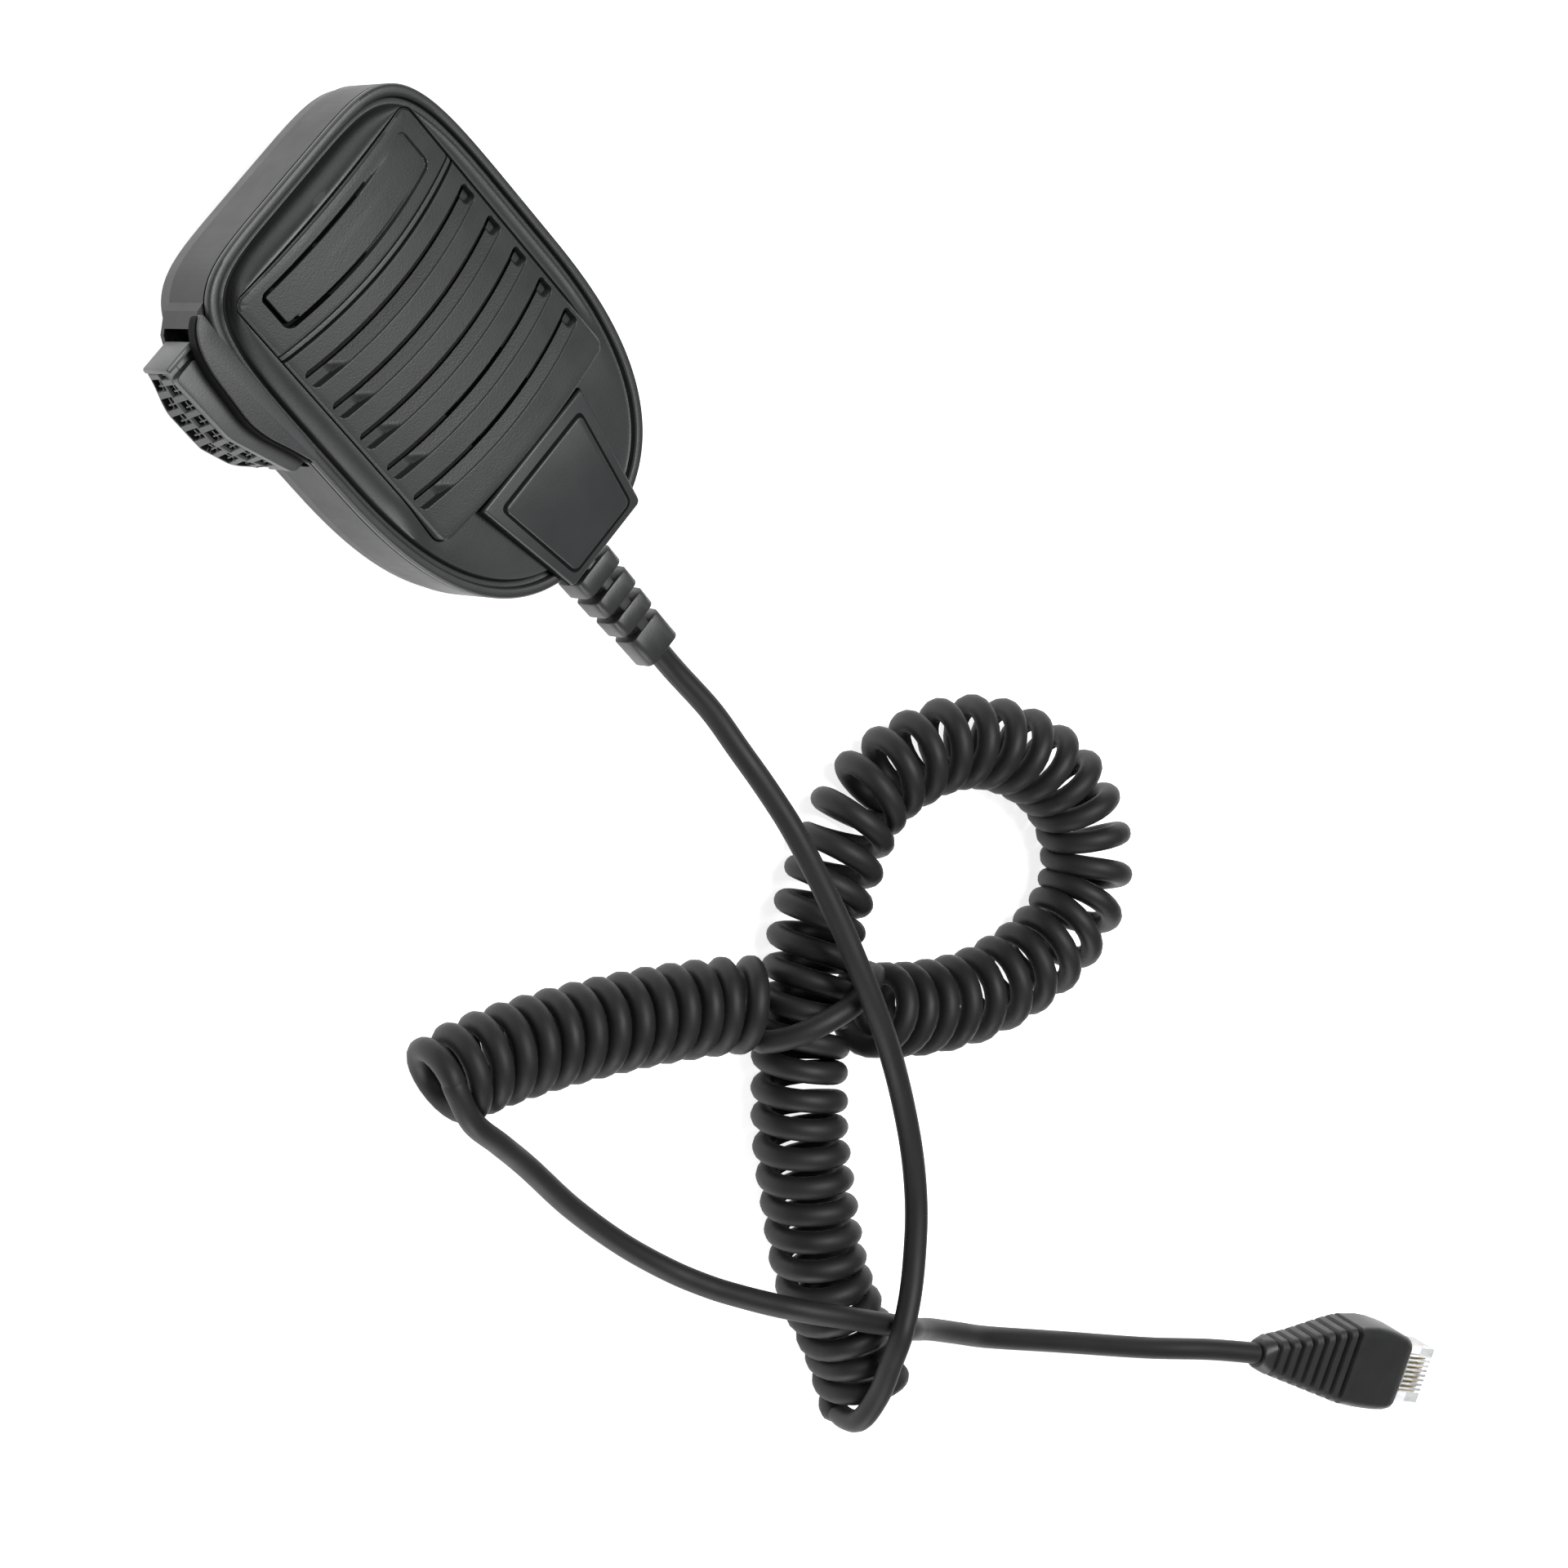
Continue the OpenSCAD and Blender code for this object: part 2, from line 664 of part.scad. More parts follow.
module board_chips() {
    color([0.08, 0.08, 0.08]) {
        block([-3, 4, z_board_top], [7, 10, z_board_top + 1.6]);
        for (i = [0 : 5])
            block([-12, -9 + 3 * i, z_board_top], [-10, -7.8 + 3 * i, z_board_top + 0.6]);
    }
}

module filter_capacitors() {
    color([0.15, 0.2, 0.45]) for (i = [0 : 2])
        translate([12, -8 + 6.5 * i, z_board_top]) cylinder(r = 2.5, h = 5.5);
}

module cord_header() {
    color([0.9, 0.88, 0.8]) difference() {
        block([-5, -board_down + 0.5, z_board_top], [5, -board_down + 6, z_board_top + 4]);
        block([-4.2, -board_down - 1, z_board_top + 0.6], [4.2, -board_down + 5, z_board_top + 3.4]);
    }
}

module harness_plug() {
    color([0.85, 0.83, 0.75])
        block([-4.1, -board_down - 2, z_board_top + 0.6], [4.1, -board_down + 4.9, z_board_top + 3.3]);
}

// Wires run level from the cord's cut end to the plug on the board
module wire_harness() {
    wire_r = 0.42;
    for (i = [0 : 3])
        color([0.8, 0.2 + 0.2 * i, 0.15])
            translate([-1.5 + i, -board_down - 2, z_board_top + 1.1]) rotate([90, 0, 0])
                cylinder(r = wire_r, h = -board_down - 2 - tail_in, $fn = 24);
}

// --- Push-to-talk ------------------------------------------------------------------

module ptt_switch_body() {
    color([0.12, 0.12, 0.13]) difference() {
        block([switch_x, boss_y - switch_w / 2, z_board_top],
            [switch_x + switch_l, boss_y + switch_w / 2, z_board_top + switch_h]);
        translate([switch_x - 1, boss_y - plunger_w / 2 - run_fit, z_lever_mid - plunger_w / 2 - run_fit])
            cube([1 + plunger_in + plunger_travel + 0.4, plunger_w + 2 * run_fit, plunger_w + 2 * run_fit]);
    }
}

module ptt_switch_plunger() {
    color([0.85, 0.85, 0.8])
        translate([plunger_x, boss_y - plunger_w / 2, z_lever_mid - plunger_w / 2])
            cube([plunger_out + plunger_in, plunger_w, plunger_w]);
}

module ptt_lever() {
    color([0.3, 0.31, 0.32]) difference() {
        union() {
            translate([0, 0, z_lever]) linear_extrude(lever_t) difference() {
                lever_plan(0);
                polygon(concat(pad_edge(-1), [for (i = [2 : -1 : 0]) pad_edge(pad_t)[i]]));
            }
            // Knuckle round the hinge pin
            translate([pivot_x, pivot_y, z_lever])
                cylinder(r = pin_r + run_fit + 1, h = lever_t);
            // Smooth bar along the front of the grip
            translate([0, 0, z_lever + lever_t - bar_h]) linear_extrude(bar_h) lever_plan(0);
            // Boss that reaches through the liner to the switch, with its stop flange
            block([-lever_in - 1, boss_y - boss_w / 2, z_lever_mid - boss_w / 2],
                [plunger_x - plunger_gap, boss_y + boss_w / 2, z_lever_mid + boss_w / 2]);
            translate([-liner_x + liner_t + 0.3, boss_y - flange_w / 2, z_lever_mid - flange_w / 2])
                cube([flange_t, flange_w, flange_w]);
        }
        // Slit between the end block and the bar
        block([-lever_out - 1, lever_up - 1 - slit_w, z_lever + lever_t - bar_h],
            [-lever_in + 1, lever_up - 1, z_lever + lever_t + 1]);
        translate([pivot_x, pivot_y, z_lever - 1]) cylinder(r = pin_r + run_fit, h = lever_t + 2);
        translate([-lever_in - spring_seat, spring_y, z_lever_mid]) rotate([0, 90, 0])
            cylinder(r = spring_r + spring_wire + 0.3, h = spring_seat + 1);
    }
}

module ptt_grip_pad() {
    color([0.24, 0.25, 0.26]) {
        translate([0, 0, z_lever]) linear_extrude(lever_t - bar_h)
            polygon(concat(pad_edge(0), [for (i = [2 : -1 : 0]) pad_edge(pad_t)[i]]));
    }
}

module ptt_hinge_pin() {
    color([0.8, 0.8, 0.82]) translate([pivot_x, pivot_y, z_rear])
        cylinder(r = pin_r, h = band_h);
}

module ptt_return_spring() {
    span = lever_in + spring_seat - liner_x - 2 * spring_wire;
    turns = [for (i = [0 : 12 * spring_coils]) let (a = 30 * i, f = i / (12 * spring_coils))
        [-lever_in - spring_seat + spring_wire + span * f, spring_y + spring_r * cos(a),
            z_lever_mid + spring_r * sin(a)]];
    color([0.75, 0.75, 0.78]) tube(turns, spring_wire, 6, [1, 0, 0]);
}

// --- Cord exit ---------------------------------------------------------------------

module cord_clamp() {
    color([0.2, 0.2, 0.2]) difference() {
        block([-8.4, tail_in - 3.7, z_exit], [8.4, tail_in, z_exit + cord_r + 1.5]);
        translate([0, tail_in + 2, z_exit]) rotate([90, 0, 0]) cylinder(r = cord_r, h = 9);
        for (x = [-1, 1])
            translate([x * 6, tail_in - 1.5, z_exit - 1]) cylinder(r = small_r + 0.1, h = 8);
    }
}

module clamp_screws() {
    color([0.75, 0.75, 0.75]) for (x = [-1, 1])
        translate([x * 6, tail_in - 1.5, z_exit + cord_r + 1.5]) {
            cylinder(r = small_head_r, h = 1.2);
            translate([0, 0, -6]) cylinder(r = small_r, h = 6);
        }
}

// One block of the strain relief, from y down by the given length
module relief_block(y, length, w, h) {
    translate([0, y, z_exit]) rotate([90, 0, 0])
        linear_extrude(length) rounded(w, h, 2);
}

module strain_relief() {
    step = relief_seg + relief_slot;
    color([0.15, 0.15, 0.16]) difference() {
        union() {
            relief_block(-body_down + neck_in - 0.2, flange_len,
                neck_w + 2 * flange_out, neck_h + 2 * flange_out);
            relief_block(-body_down + neck_in, neck_out + neck_in, neck_w, neck_h);
            for (i = [0 : relief_rings - 1])
                relief_block(relief_start - relief_slot - i * step, relief_seg,
                    relief_w - relief_taper * i, relief_h - 0.7 * relief_taper * i);
            relief_block(relief_start - relief_slot - relief_rings * step, relief_last,
                relief_w - relief_taper * relief_rings, relief_h - 0.7 * relief_taper * relief_rings);
            // Core and the webs that bridge the slots
            translate([0, relief_start + 1, z_exit]) rotate([90, 0, 0])
                cylinder(r = cord_r + 0.7, h = relief_start - relief_end);
            relief_block(relief_start + 1, relief_start - relief_end - 2, 2.4, relief_h - 2.2);
        }
        translate([0, -body_down + neck_in + 5, z_exit]) rotate([90, 0, 0])
            cylinder(r = cord_r, h = 60);
    }
}

module cord_tail() {
    color([0.1, 0.1, 0.1]) translate([0, tail_in, z_exit]) rotate([90, 0, 0])
        cylinder(r = cord_r, h = tail_in - relief_end);
}

// --- Cord --------------------------------------------------------------------------

module cord_lead_mic() {
    color([0.12, 0.12, 0.12]) tube(mic_route, cord_r, 10);
}

module coil_main() {
    color([0.1, 0.1, 0.1]) tube(main_axis, coil_r, 16);
}

module coil_bridge() {
    color([0.12, 0.12, 0.12]) tube(bridge_route, cord_r, 10);
}

module coil_end() {
    color([0.1, 0.1, 0.1]) tube(end_axis, coil_r, 16);
}

module cord_lead_plug() {
    color([0.12, 0.12, 0.12]) tube(plug_route, cord_r, 10);
}

// --- Plug --------------------------------------------------------------------------

// Children are drawn with the plug's length along +X and its contacts on +Z
module at_plug() {
    translate(plug_at) rotate([0, 0, plug_turn]) rotate([plug_roll, 0, 0]) children();
}

module plug_boot() {
    color([0.16, 0.16, 0.17]) at_plug() difference() {
        union() {
            hull() {
                rotate([0, 90, 0]) cylinder(r = boot_small_r, h = eps, $fn = 32);
                translate([boot_flare, 0, 0]) rotate([90, 0, 90]) linear_extrude(eps)
                    rounded(boot_w - 1.4, boot_h - 0.6, 1.5, $fn = 24);
            }
            hull() {
                translate([boot_flare, 0, 0]) rotate([90, 0, 90]) linear_extrude(eps)
                    rounded(boot_w - 1.4, boot_h - 0.6, 1.5, $fn = 24);
                translate([boot_l - eps, 0, 0]) rotate([90, 0, 90]) linear_extrude(eps)
                    rounded(boot_w, boot_h, 1.5, $fn = 24);
            }
        }
        translate([-1, 0, 0]) rotate([0, 90, 0]) cylinder(r = cord_r, h = plug_back + 2);
        block([plug_back, -plug_w / 2, -plug_h / 2], [boot_l + 1, plug_w / 2, plug_h / 2]);
        // Window for the latch
        block([latch_hinge[0] - latch_l - 1, -latch_w / 2 - 0.8, -boot_h],
            [boot_l + 1, latch_w / 2 + 0.8, 0]);
    }
}

module plug_cord_tail() {
    color([0.12, 0.12, 0.12]) at_plug() rotate([0, 90, 0]) cylinder(r = cord_r, h = plug_back + 5);
}

module plug_body() {
    slot_from = plug_front - 6;
    color([0.85, 0.88, 0.9, 0.5]) at_plug() difference() {
        block([plug_back, -plug_w / 2, -plug_h / 2], [plug_front, plug_w / 2, plug_h / 2]);
        translate([plug_back - 1, 0, 0]) rotate([0, 90, 0]) cylinder(r = cord_r, h = 6);
        for (i = [0 : contact_n - 1])
            translate([0, (i - (contact_n - 1) / 2) * contact_pitch, 0]) {
                block([slot_from, -0.25, 0.5], [plug_front + 1, 0.25, plug_h]);
                translate([plug_back + 4, 0, 0]) rotate([0, 90, 0])
                    cylinder(r = conductor_r, h = plug_l - 6, $fn = 24);
            }
    }
}

module plug_contacts() {
    color([0.9, 0.75, 0.35]) at_plug() for (i = [0 : contact_n - 1])
        translate([0, (i - (contact_n - 1) / 2) * contact_pitch, 0])
            block([plug_front - 5.5, -0.18, 0.5], [plug_front - 1, 0.18, plug_h / 2 - 0.6]);
}

module plug_conductors() {
    color([0.8, 0.45, 0.3]) at_plug() for (i = [0 : contact_n - 1])
        translate([plug_back + 5.2, (i - (contact_n - 1) / 2) * contact_pitch, 0]) rotate([0, 90, 0])
            cylinder(r = conductor_r, h = plug_l - 8, $fn = 24);
}

module plug_latch() {
    color([0.85, 0.88, 0.9, 0.5]) at_plug() translate([latch_hinge[0], 0, latch_hinge[1]])
        rotate([0, -latch_drop, 0]) union() {
            block([-latch_l, -latch_w / 2, -latch_t / 2], [-4, latch_w / 2, latch_t / 2]);
            block([-4, -latch_w / 2 + 1.2, -latch_t / 2], [0, latch_w / 2 - 1.2, latch_t / 2]);
        }
}

front_shell();
grille_panel();
label_plate();
nose_plate();
centre_band();
rear_cover();
case_gasket();
case_screws();
hanger_stud();
hanger_screw();
hanger_terminal();
acoustic_cloth();
capsule_boot();
microphone_capsule();
capsule_leads();
circuit_board();
board_screws();
board_chips();
filter_capacitors();
cord_header();
harness_plug();
wire_harness();
ptt_switch_body();
ptt_switch_plunger();
ptt_lever();
ptt_grip_pad();
ptt_hinge_pin();
ptt_return_spring();
cord_clamp();
clamp_screws();
strain_relief();
cord_tail();
cord_lead_mic();
coil_main();
coil_bridge();
coil_end();
cord_lead_plug();
plug_boot();
plug_cord_tail();
plug_body();
plug_contacts();
plug_conductors();
plug_latch();
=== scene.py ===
"""Hand microphone on a plain pale floor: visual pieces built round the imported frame."""
import math

import bmesh
import bpy
import numpy as np
from mathutils import Matrix, Vector


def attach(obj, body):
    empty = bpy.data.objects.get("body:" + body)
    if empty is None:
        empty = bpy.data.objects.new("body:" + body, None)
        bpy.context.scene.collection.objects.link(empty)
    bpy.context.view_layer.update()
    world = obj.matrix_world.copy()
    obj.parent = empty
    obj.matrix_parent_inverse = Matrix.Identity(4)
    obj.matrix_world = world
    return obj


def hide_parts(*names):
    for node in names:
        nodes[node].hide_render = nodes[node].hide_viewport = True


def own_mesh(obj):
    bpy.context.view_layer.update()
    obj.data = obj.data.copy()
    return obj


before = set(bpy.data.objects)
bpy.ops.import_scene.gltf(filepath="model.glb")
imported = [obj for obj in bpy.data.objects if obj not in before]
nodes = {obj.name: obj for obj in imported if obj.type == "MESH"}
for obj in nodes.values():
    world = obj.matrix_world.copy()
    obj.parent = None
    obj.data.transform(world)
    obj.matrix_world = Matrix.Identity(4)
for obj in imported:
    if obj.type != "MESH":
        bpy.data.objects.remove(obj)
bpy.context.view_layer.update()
MM = 0.001

# --- Camera --------------------------------------------------------------------------
cam_data = bpy.data.cameras.new("camera")
cam_data.lens = 100
cam_data.sensor_width = 36
cam_data.sensor_fit = "HORIZONTAL"
cam_data.clip_start = 0.01
cam_data.clip_end = 20
camera = bpy.data.objects.new("camera", cam_data)
bpy.context.scene.collection.objects.link(camera)
cam_right = Vector((0.5586, -0.5617, 0.6103)).normalized()
cam_back = Vector((-0.3474, 0.5097, 0.7871)).normalized()
cam_up = cam_back.cross(cam_right).normalized()
cam_right = cam_up.cross(cam_back).normalized()
camera.matrix_world = Matrix((
    (cam_right.x, cam_up.x, cam_back.x, -0.2646),
    (cam_right.y, cam_up.y, cam_back.y, 0.2828),
    (cam_right.z, cam_up.z, cam_back.z, 0.6160),
    (0, 0, 0, 1)))
bpy.context.scene.camera = camera

# --- Sizes, in millimetres -----------------------------------------------------------
BODY_W, BODY_UP, BODY_DOWN = 58, 41.5, 42.5
SQUARE_UP, SQUARE_DOWN = 5.6, 2.5
Z_FRONT, Z_SLOPE, Z_SEAT = 23.5, 25.2, 24.2
Z_EDGE, Z_CROWN, Z_LEDGE = 27.3, 29.9, 25.3
PANEL_W, PANEL_UP, PANEL_DOWN = 44.8, 35.5, 19
LEVER_OUT, LEVER_UP, LEVER_DOWN, LEVER_IN, LEVER_LEAN = 38, 35, 7.2, 29.6, 2.1
LEVER_BEND = LEVER_DOWN + 11.5
Z_LEVER, LEVER_T, BAR_H = 14.35, 7.8, 1.6
Z_EXIT = 12.8
PLUG_AT, PLUG_TURN, PLUG_ROLL = (0.6, -279, 8.4), -58, 12.5


# --- Mesh helpers --------------------------------------------------------------------
def make(name, verts, faces, smooth_angle=40.0):
    """A mesh object from points in millimetres."""
    mesh = bpy.data.meshes.new(name)
    mesh.from_pydata([tuple(float(c) * MM for c in v) for v in verts], [], [tuple(f) for f in faces])
    mesh.validate()
    obj = bpy.data.objects.new(name, mesh)
    bpy.context.scene.collection.objects.link(obj)
    tidy(obj, smooth_angle)
    return obj


def tidy(obj, smooth_angle=40.0):
    """Faces outward, and smooth shading with sharp edges past the angle."""
    bm = bmesh.new()
    bm.from_mesh(obj.data)
    bmesh.ops.remove_doubles(bm, verts=bm.verts, dist=1e-7)
    bmesh.ops.dissolve_degenerate(bm, dist=1e-7, edges=bm.edges)
    bmesh.ops.recalc_face_normals(bm, faces=bm.faces)
    limit = math.radians(smooth_angle)
    for f in bm.faces:
        f.smooth = True
    for e in bm.edges:
        e.smooth = not (len(e.link_faces) == 2 and e.calc_face_angle(0) > limit)
    bm.to_mesh(obj.data)
    bm.free()


def loft(rings, closed_ends=True):
    """Verts and faces of a tube through rings that have the same number of points."""
    n = len(rings[0])
    verts = [p for r in rings for p in r]
    faces = []
    for i in range(len(rings) - 1):
        for k in range(n):
            a, b = i * n + k, i * n + (k + 1) % n
            faces.append((a, b, b + n, a + n))
    if closed_ends:
        faces.append(tuple(range(n - 1, -1, -1)))
        faces.append(tuple((len(rings) - 1) * n + k for k in range(n)))
    return verts, faces


def joined(shells):
    """Several shells as one list of verts and one of faces."""
    verts, faces = [], []
    for v, f in shells:
        k = len(verts)
        verts += list(v)
        faces += [tuple(i + k for i in q) for q in f]
    return verts, faces


def prism(poly, z0, z1, bevel=0.4, segments=3):
    """Verts and faces of an upright prism whose edges are rounded."""
    bm = bmesh.new()
    low = [bm.verts.new((x, y, z0)) for x, y in poly]
    high = [bm.verts.new((x, y, z1)) for x, y in poly]
    n = len(poly)
    bm.faces.new(low[::-1])
    bm.faces.new(high)
    for i in range(n):
        bm.faces.new((low[i], low[(i + 1) % n], high[(i + 1) % n], high[i]))
    bm.normal_update()
    edges = {e for e in set(bm.edges) if e.calc_face_angle(0) > 0.35}
    bmesh.ops.bevel(bm, geom=list(edges), offset=bevel, segments=segments, profile=0.5,
                    affect="EDGES", clamp_overlap=True)
    bm.verts.index_update()
    v = [tuple(x.co) for x in bm.verts]
    f = [tuple(x.index for x in q.verts) for q in bm.faces]
    bm.free()
    return v, f


def box_shell(low, high, bevel=0.2, segments=2):
    (x0, y0, z0), (x1, y1, z1) = low, high
    return prism([(x0, y0), (x1, y0), (x1, y1), (x0, y1)], z0, z1, bevel, segments)


def moved(shell, matrix):
    v, f = shell
    return [tuple(matrix @ Vector(p)) for p in v], f


def rounded_ring(w, h, r, count=48):
    """Points of a rounded rectangle by angle, so that rings of different sizes line up."""
    out = []
    for i in range(count):
        a = 2 * math.pi * (i + 0.5) / count
        c, s = math.cos(a), math.sin(a)
        ix, iy = w / 2 - r, h / 2 - r
        x = math.copysign(min(abs(c) * 9, 1) * ix, c)
        y = math.copysign(min(abs(s) * 9, 1) * iy, s)
        out.append((x + r * c, y + r * s))
    return out


def outline(inset=0.0, steps=64):
    """The case's outline in plan, a superellipse that is squarer at the top, drawn in by inset."""
    pts = []
    for i in range(4 * steps):
        a = math.radians(90 * i / steps)
        c, s = math.cos(a), math.sin(a)
        if abs(c) < 1e-12:
            c = 0.0
        if abs(s) < 1e-12:
            s = 0.0
        e = SQUARE_UP if s >= 0 else SQUARE_DOWN
        reach = BODY_UP if s >= 0 else BODY_DOWN
        pts.append(((BODY_W / 2 - inset) * math.copysign(abs(c) ** (2 / e), c),
                    (reach - inset) * math.copysign(abs(s) ** (2 / e), s)))
    return pts


def even_closed(pts, count):
    """The same closed outline with evenly spaced points, starting at its first."""
    p = np.array(pts + [pts[0]], float)
    s = np.concatenate([[0], np.cumsum(np.linalg.norm(np.diff(p, axis=0), axis=1))])
    u = np.linspace(0, s[-1], count, endpoint=False)
    return np.stack([np.interp(u, s, p[:, 0]), np.interp(u, s, p[:, 1])], 1)


def ease(t):
    """Smooth step from 0 to 1."""
    t = min(max(t, 0.0), 1.0)
    return t * t * (3 - 2 * t)


# --- Materials -----------------------------------------------------------------------
def material(name, color, rough, grain=0.0, grain_mm=0.25, blotch=0.0, blotch_mm=6.0,
             edge=0.0, crease_shade=0.0, metallic=0.0, specular=0.5, transmission=0.0, ior=1.5,
             rough_var=0.0, brushed=0.0):
    """Principled material whose colour, roughness and bump vary over the surface, with painted highlights on
    sharp edges and painted shade in creases.
    """
    m = bpy.data.materials.new(name)
    m.use_nodes = True
    t = m.node_tree
    b = t.nodes["Principled BSDF"]
    b.inputs["Metallic"].default_value = metallic
    b.inputs["Roughness"].default_value = rough
    b.inputs["Specular IOR Level"].default_value = specular
    b.inputs["IOR"].default_value = ior
    b.inputs["Transmission Weight"].default_value = transmission
    coords = t.nodes.new("ShaderNodeTexCoord")
    fine = t.nodes.new("ShaderNodeTexNoise")
    fine.inputs["Scale"].default_value = 1000 / grain_mm
    fine.inputs["Detail"].default_value = 3
    broad = t.nodes.new("ShaderNodeTexNoise")
    broad.inputs["Scale"].default_value = 1000 / blotch_mm
    broad.inputs["Detail"].default_value = 4
    if brushed:
        stretch = t.nodes.new("ShaderNodeMapping")
        stretch.inputs["Scale"].default_value = (1, 1, brushed)
        t.links.new(coords.outputs["Object"], stretch.inputs["Vector"])
        t.links.new(stretch.outputs["Vector"], fine.inputs["Vector"])
    else:
        t.links.new(coords.outputs["Object"], fine.inputs["Vector"])
    t.links.new(coords.outputs["Object"], broad.inputs["Vector"])
    ramp = t.nodes.new("ShaderNodeValToRGB")
    lo = [c * (1 - blotch) for c in color[:3]]
    hi = [min(1, c * (1 + blotch)) for c in color[:3]]
    ramp.color_ramp.elements[0].position = 0.3
    ramp.color_ramp.elements[1].position = 0.7
    ramp.color_ramp.elements[0].color = (*lo, 1)
    ramp.color_ramp.elements[1].color = (*hi, 1)
    t.links.new(broad.outputs["Fac"], ramp.inputs["Fac"])
    source = ramp.outputs["Color"]
    # edge lightens the colour on sharp edges by pointiness: a painted highlight where light catches the
    # edges.
    if edge:
        geo = t.nodes.new("ShaderNodeNewGeometry")
        edge_glint = t.nodes.new("ShaderNodeValToRGB")
        edge_glint.color_ramp.elements[0].position = 0.52
        edge_glint.color_ramp.elements[1].position = 0.62
        edge_glint.color_ramp.elements[0].color = (0, 0, 0, 1)
        edge_glint.color_ramp.elements[1].color = (1, 1, 1, 1)
        mix = t.nodes.new("ShaderNodeMix")
        mix.data_type = "RGBA"
        mix.inputs["B"].default_value = (*[min(1, c * (1 + edge)) for c in color[:3]], 1)
        t.links.new(geo.outputs["Pointiness"], edge_glint.inputs["Fac"])
        t.links.new(edge_glint.outputs["Color"], mix.inputs["Factor"])
        t.links.new(source, mix.inputs["A"])
        source = mix.outputs["Result"]
    # crease darkens the colour in hollows by pointiness: painted shade in creases.
    if crease_shade:
        geo = t.nodes.new("ShaderNodeNewGeometry")
        hollow_shade = t.nodes.new("ShaderNodeValToRGB")
        hollow_shade.color_ramp.elements[0].position = 0.4
        hollow_shade.color_ramp.elements[1].position = 0.485
        hollow_shade.color_ramp.elements[0].color = (1, 1, 1, 1)
        hollow_shade.color_ramp.elements[1].color = (0, 0, 0, 1)
        dark = t.nodes.new("ShaderNodeMix")
        dark.data_type = "RGBA"
        dark.inputs["B"].default_value = (*[c * (1 - crease_shade) for c in color[:3]], 1)
        t.links.new(geo.outputs["Pointiness"], hollow_shade.inputs["Fac"])
        t.links.new(hollow_shade.outputs["Color"], dark.inputs["Factor"])
        t.links.new(source, dark.inputs["A"])
        source = dark.outputs["Result"]
    t.links.new(source, b.inputs["Base Color"])
    if rough_var:
        spread = t.nodes.new("ShaderNodeMapRange")
        spread.inputs["From Min"].default_value = 0.3
        spread.inputs["From Max"].default_value = 0.7
        spread.inputs["To Min"].default_value = rough - rough_var
        spread.inputs["To Max"].default_value = rough + rough_var
        t.links.new(broad.outputs["Fac"], spread.inputs["Value"])
        t.links.new(spread.outputs["Result"], b.inputs["Roughness"])
    if grain:
        bump = t.nodes.new("ShaderNodeBump")
        bump.inputs["Strength"].default_value = grain
        bump.inputs["Distance"].default_value = 0.00005
        t.links.new(fine.outputs["Fac"], bump.inputs["Height"])
        t.links.new(bump.outputs["Normal"], b.inputs["Normal"])
    return m


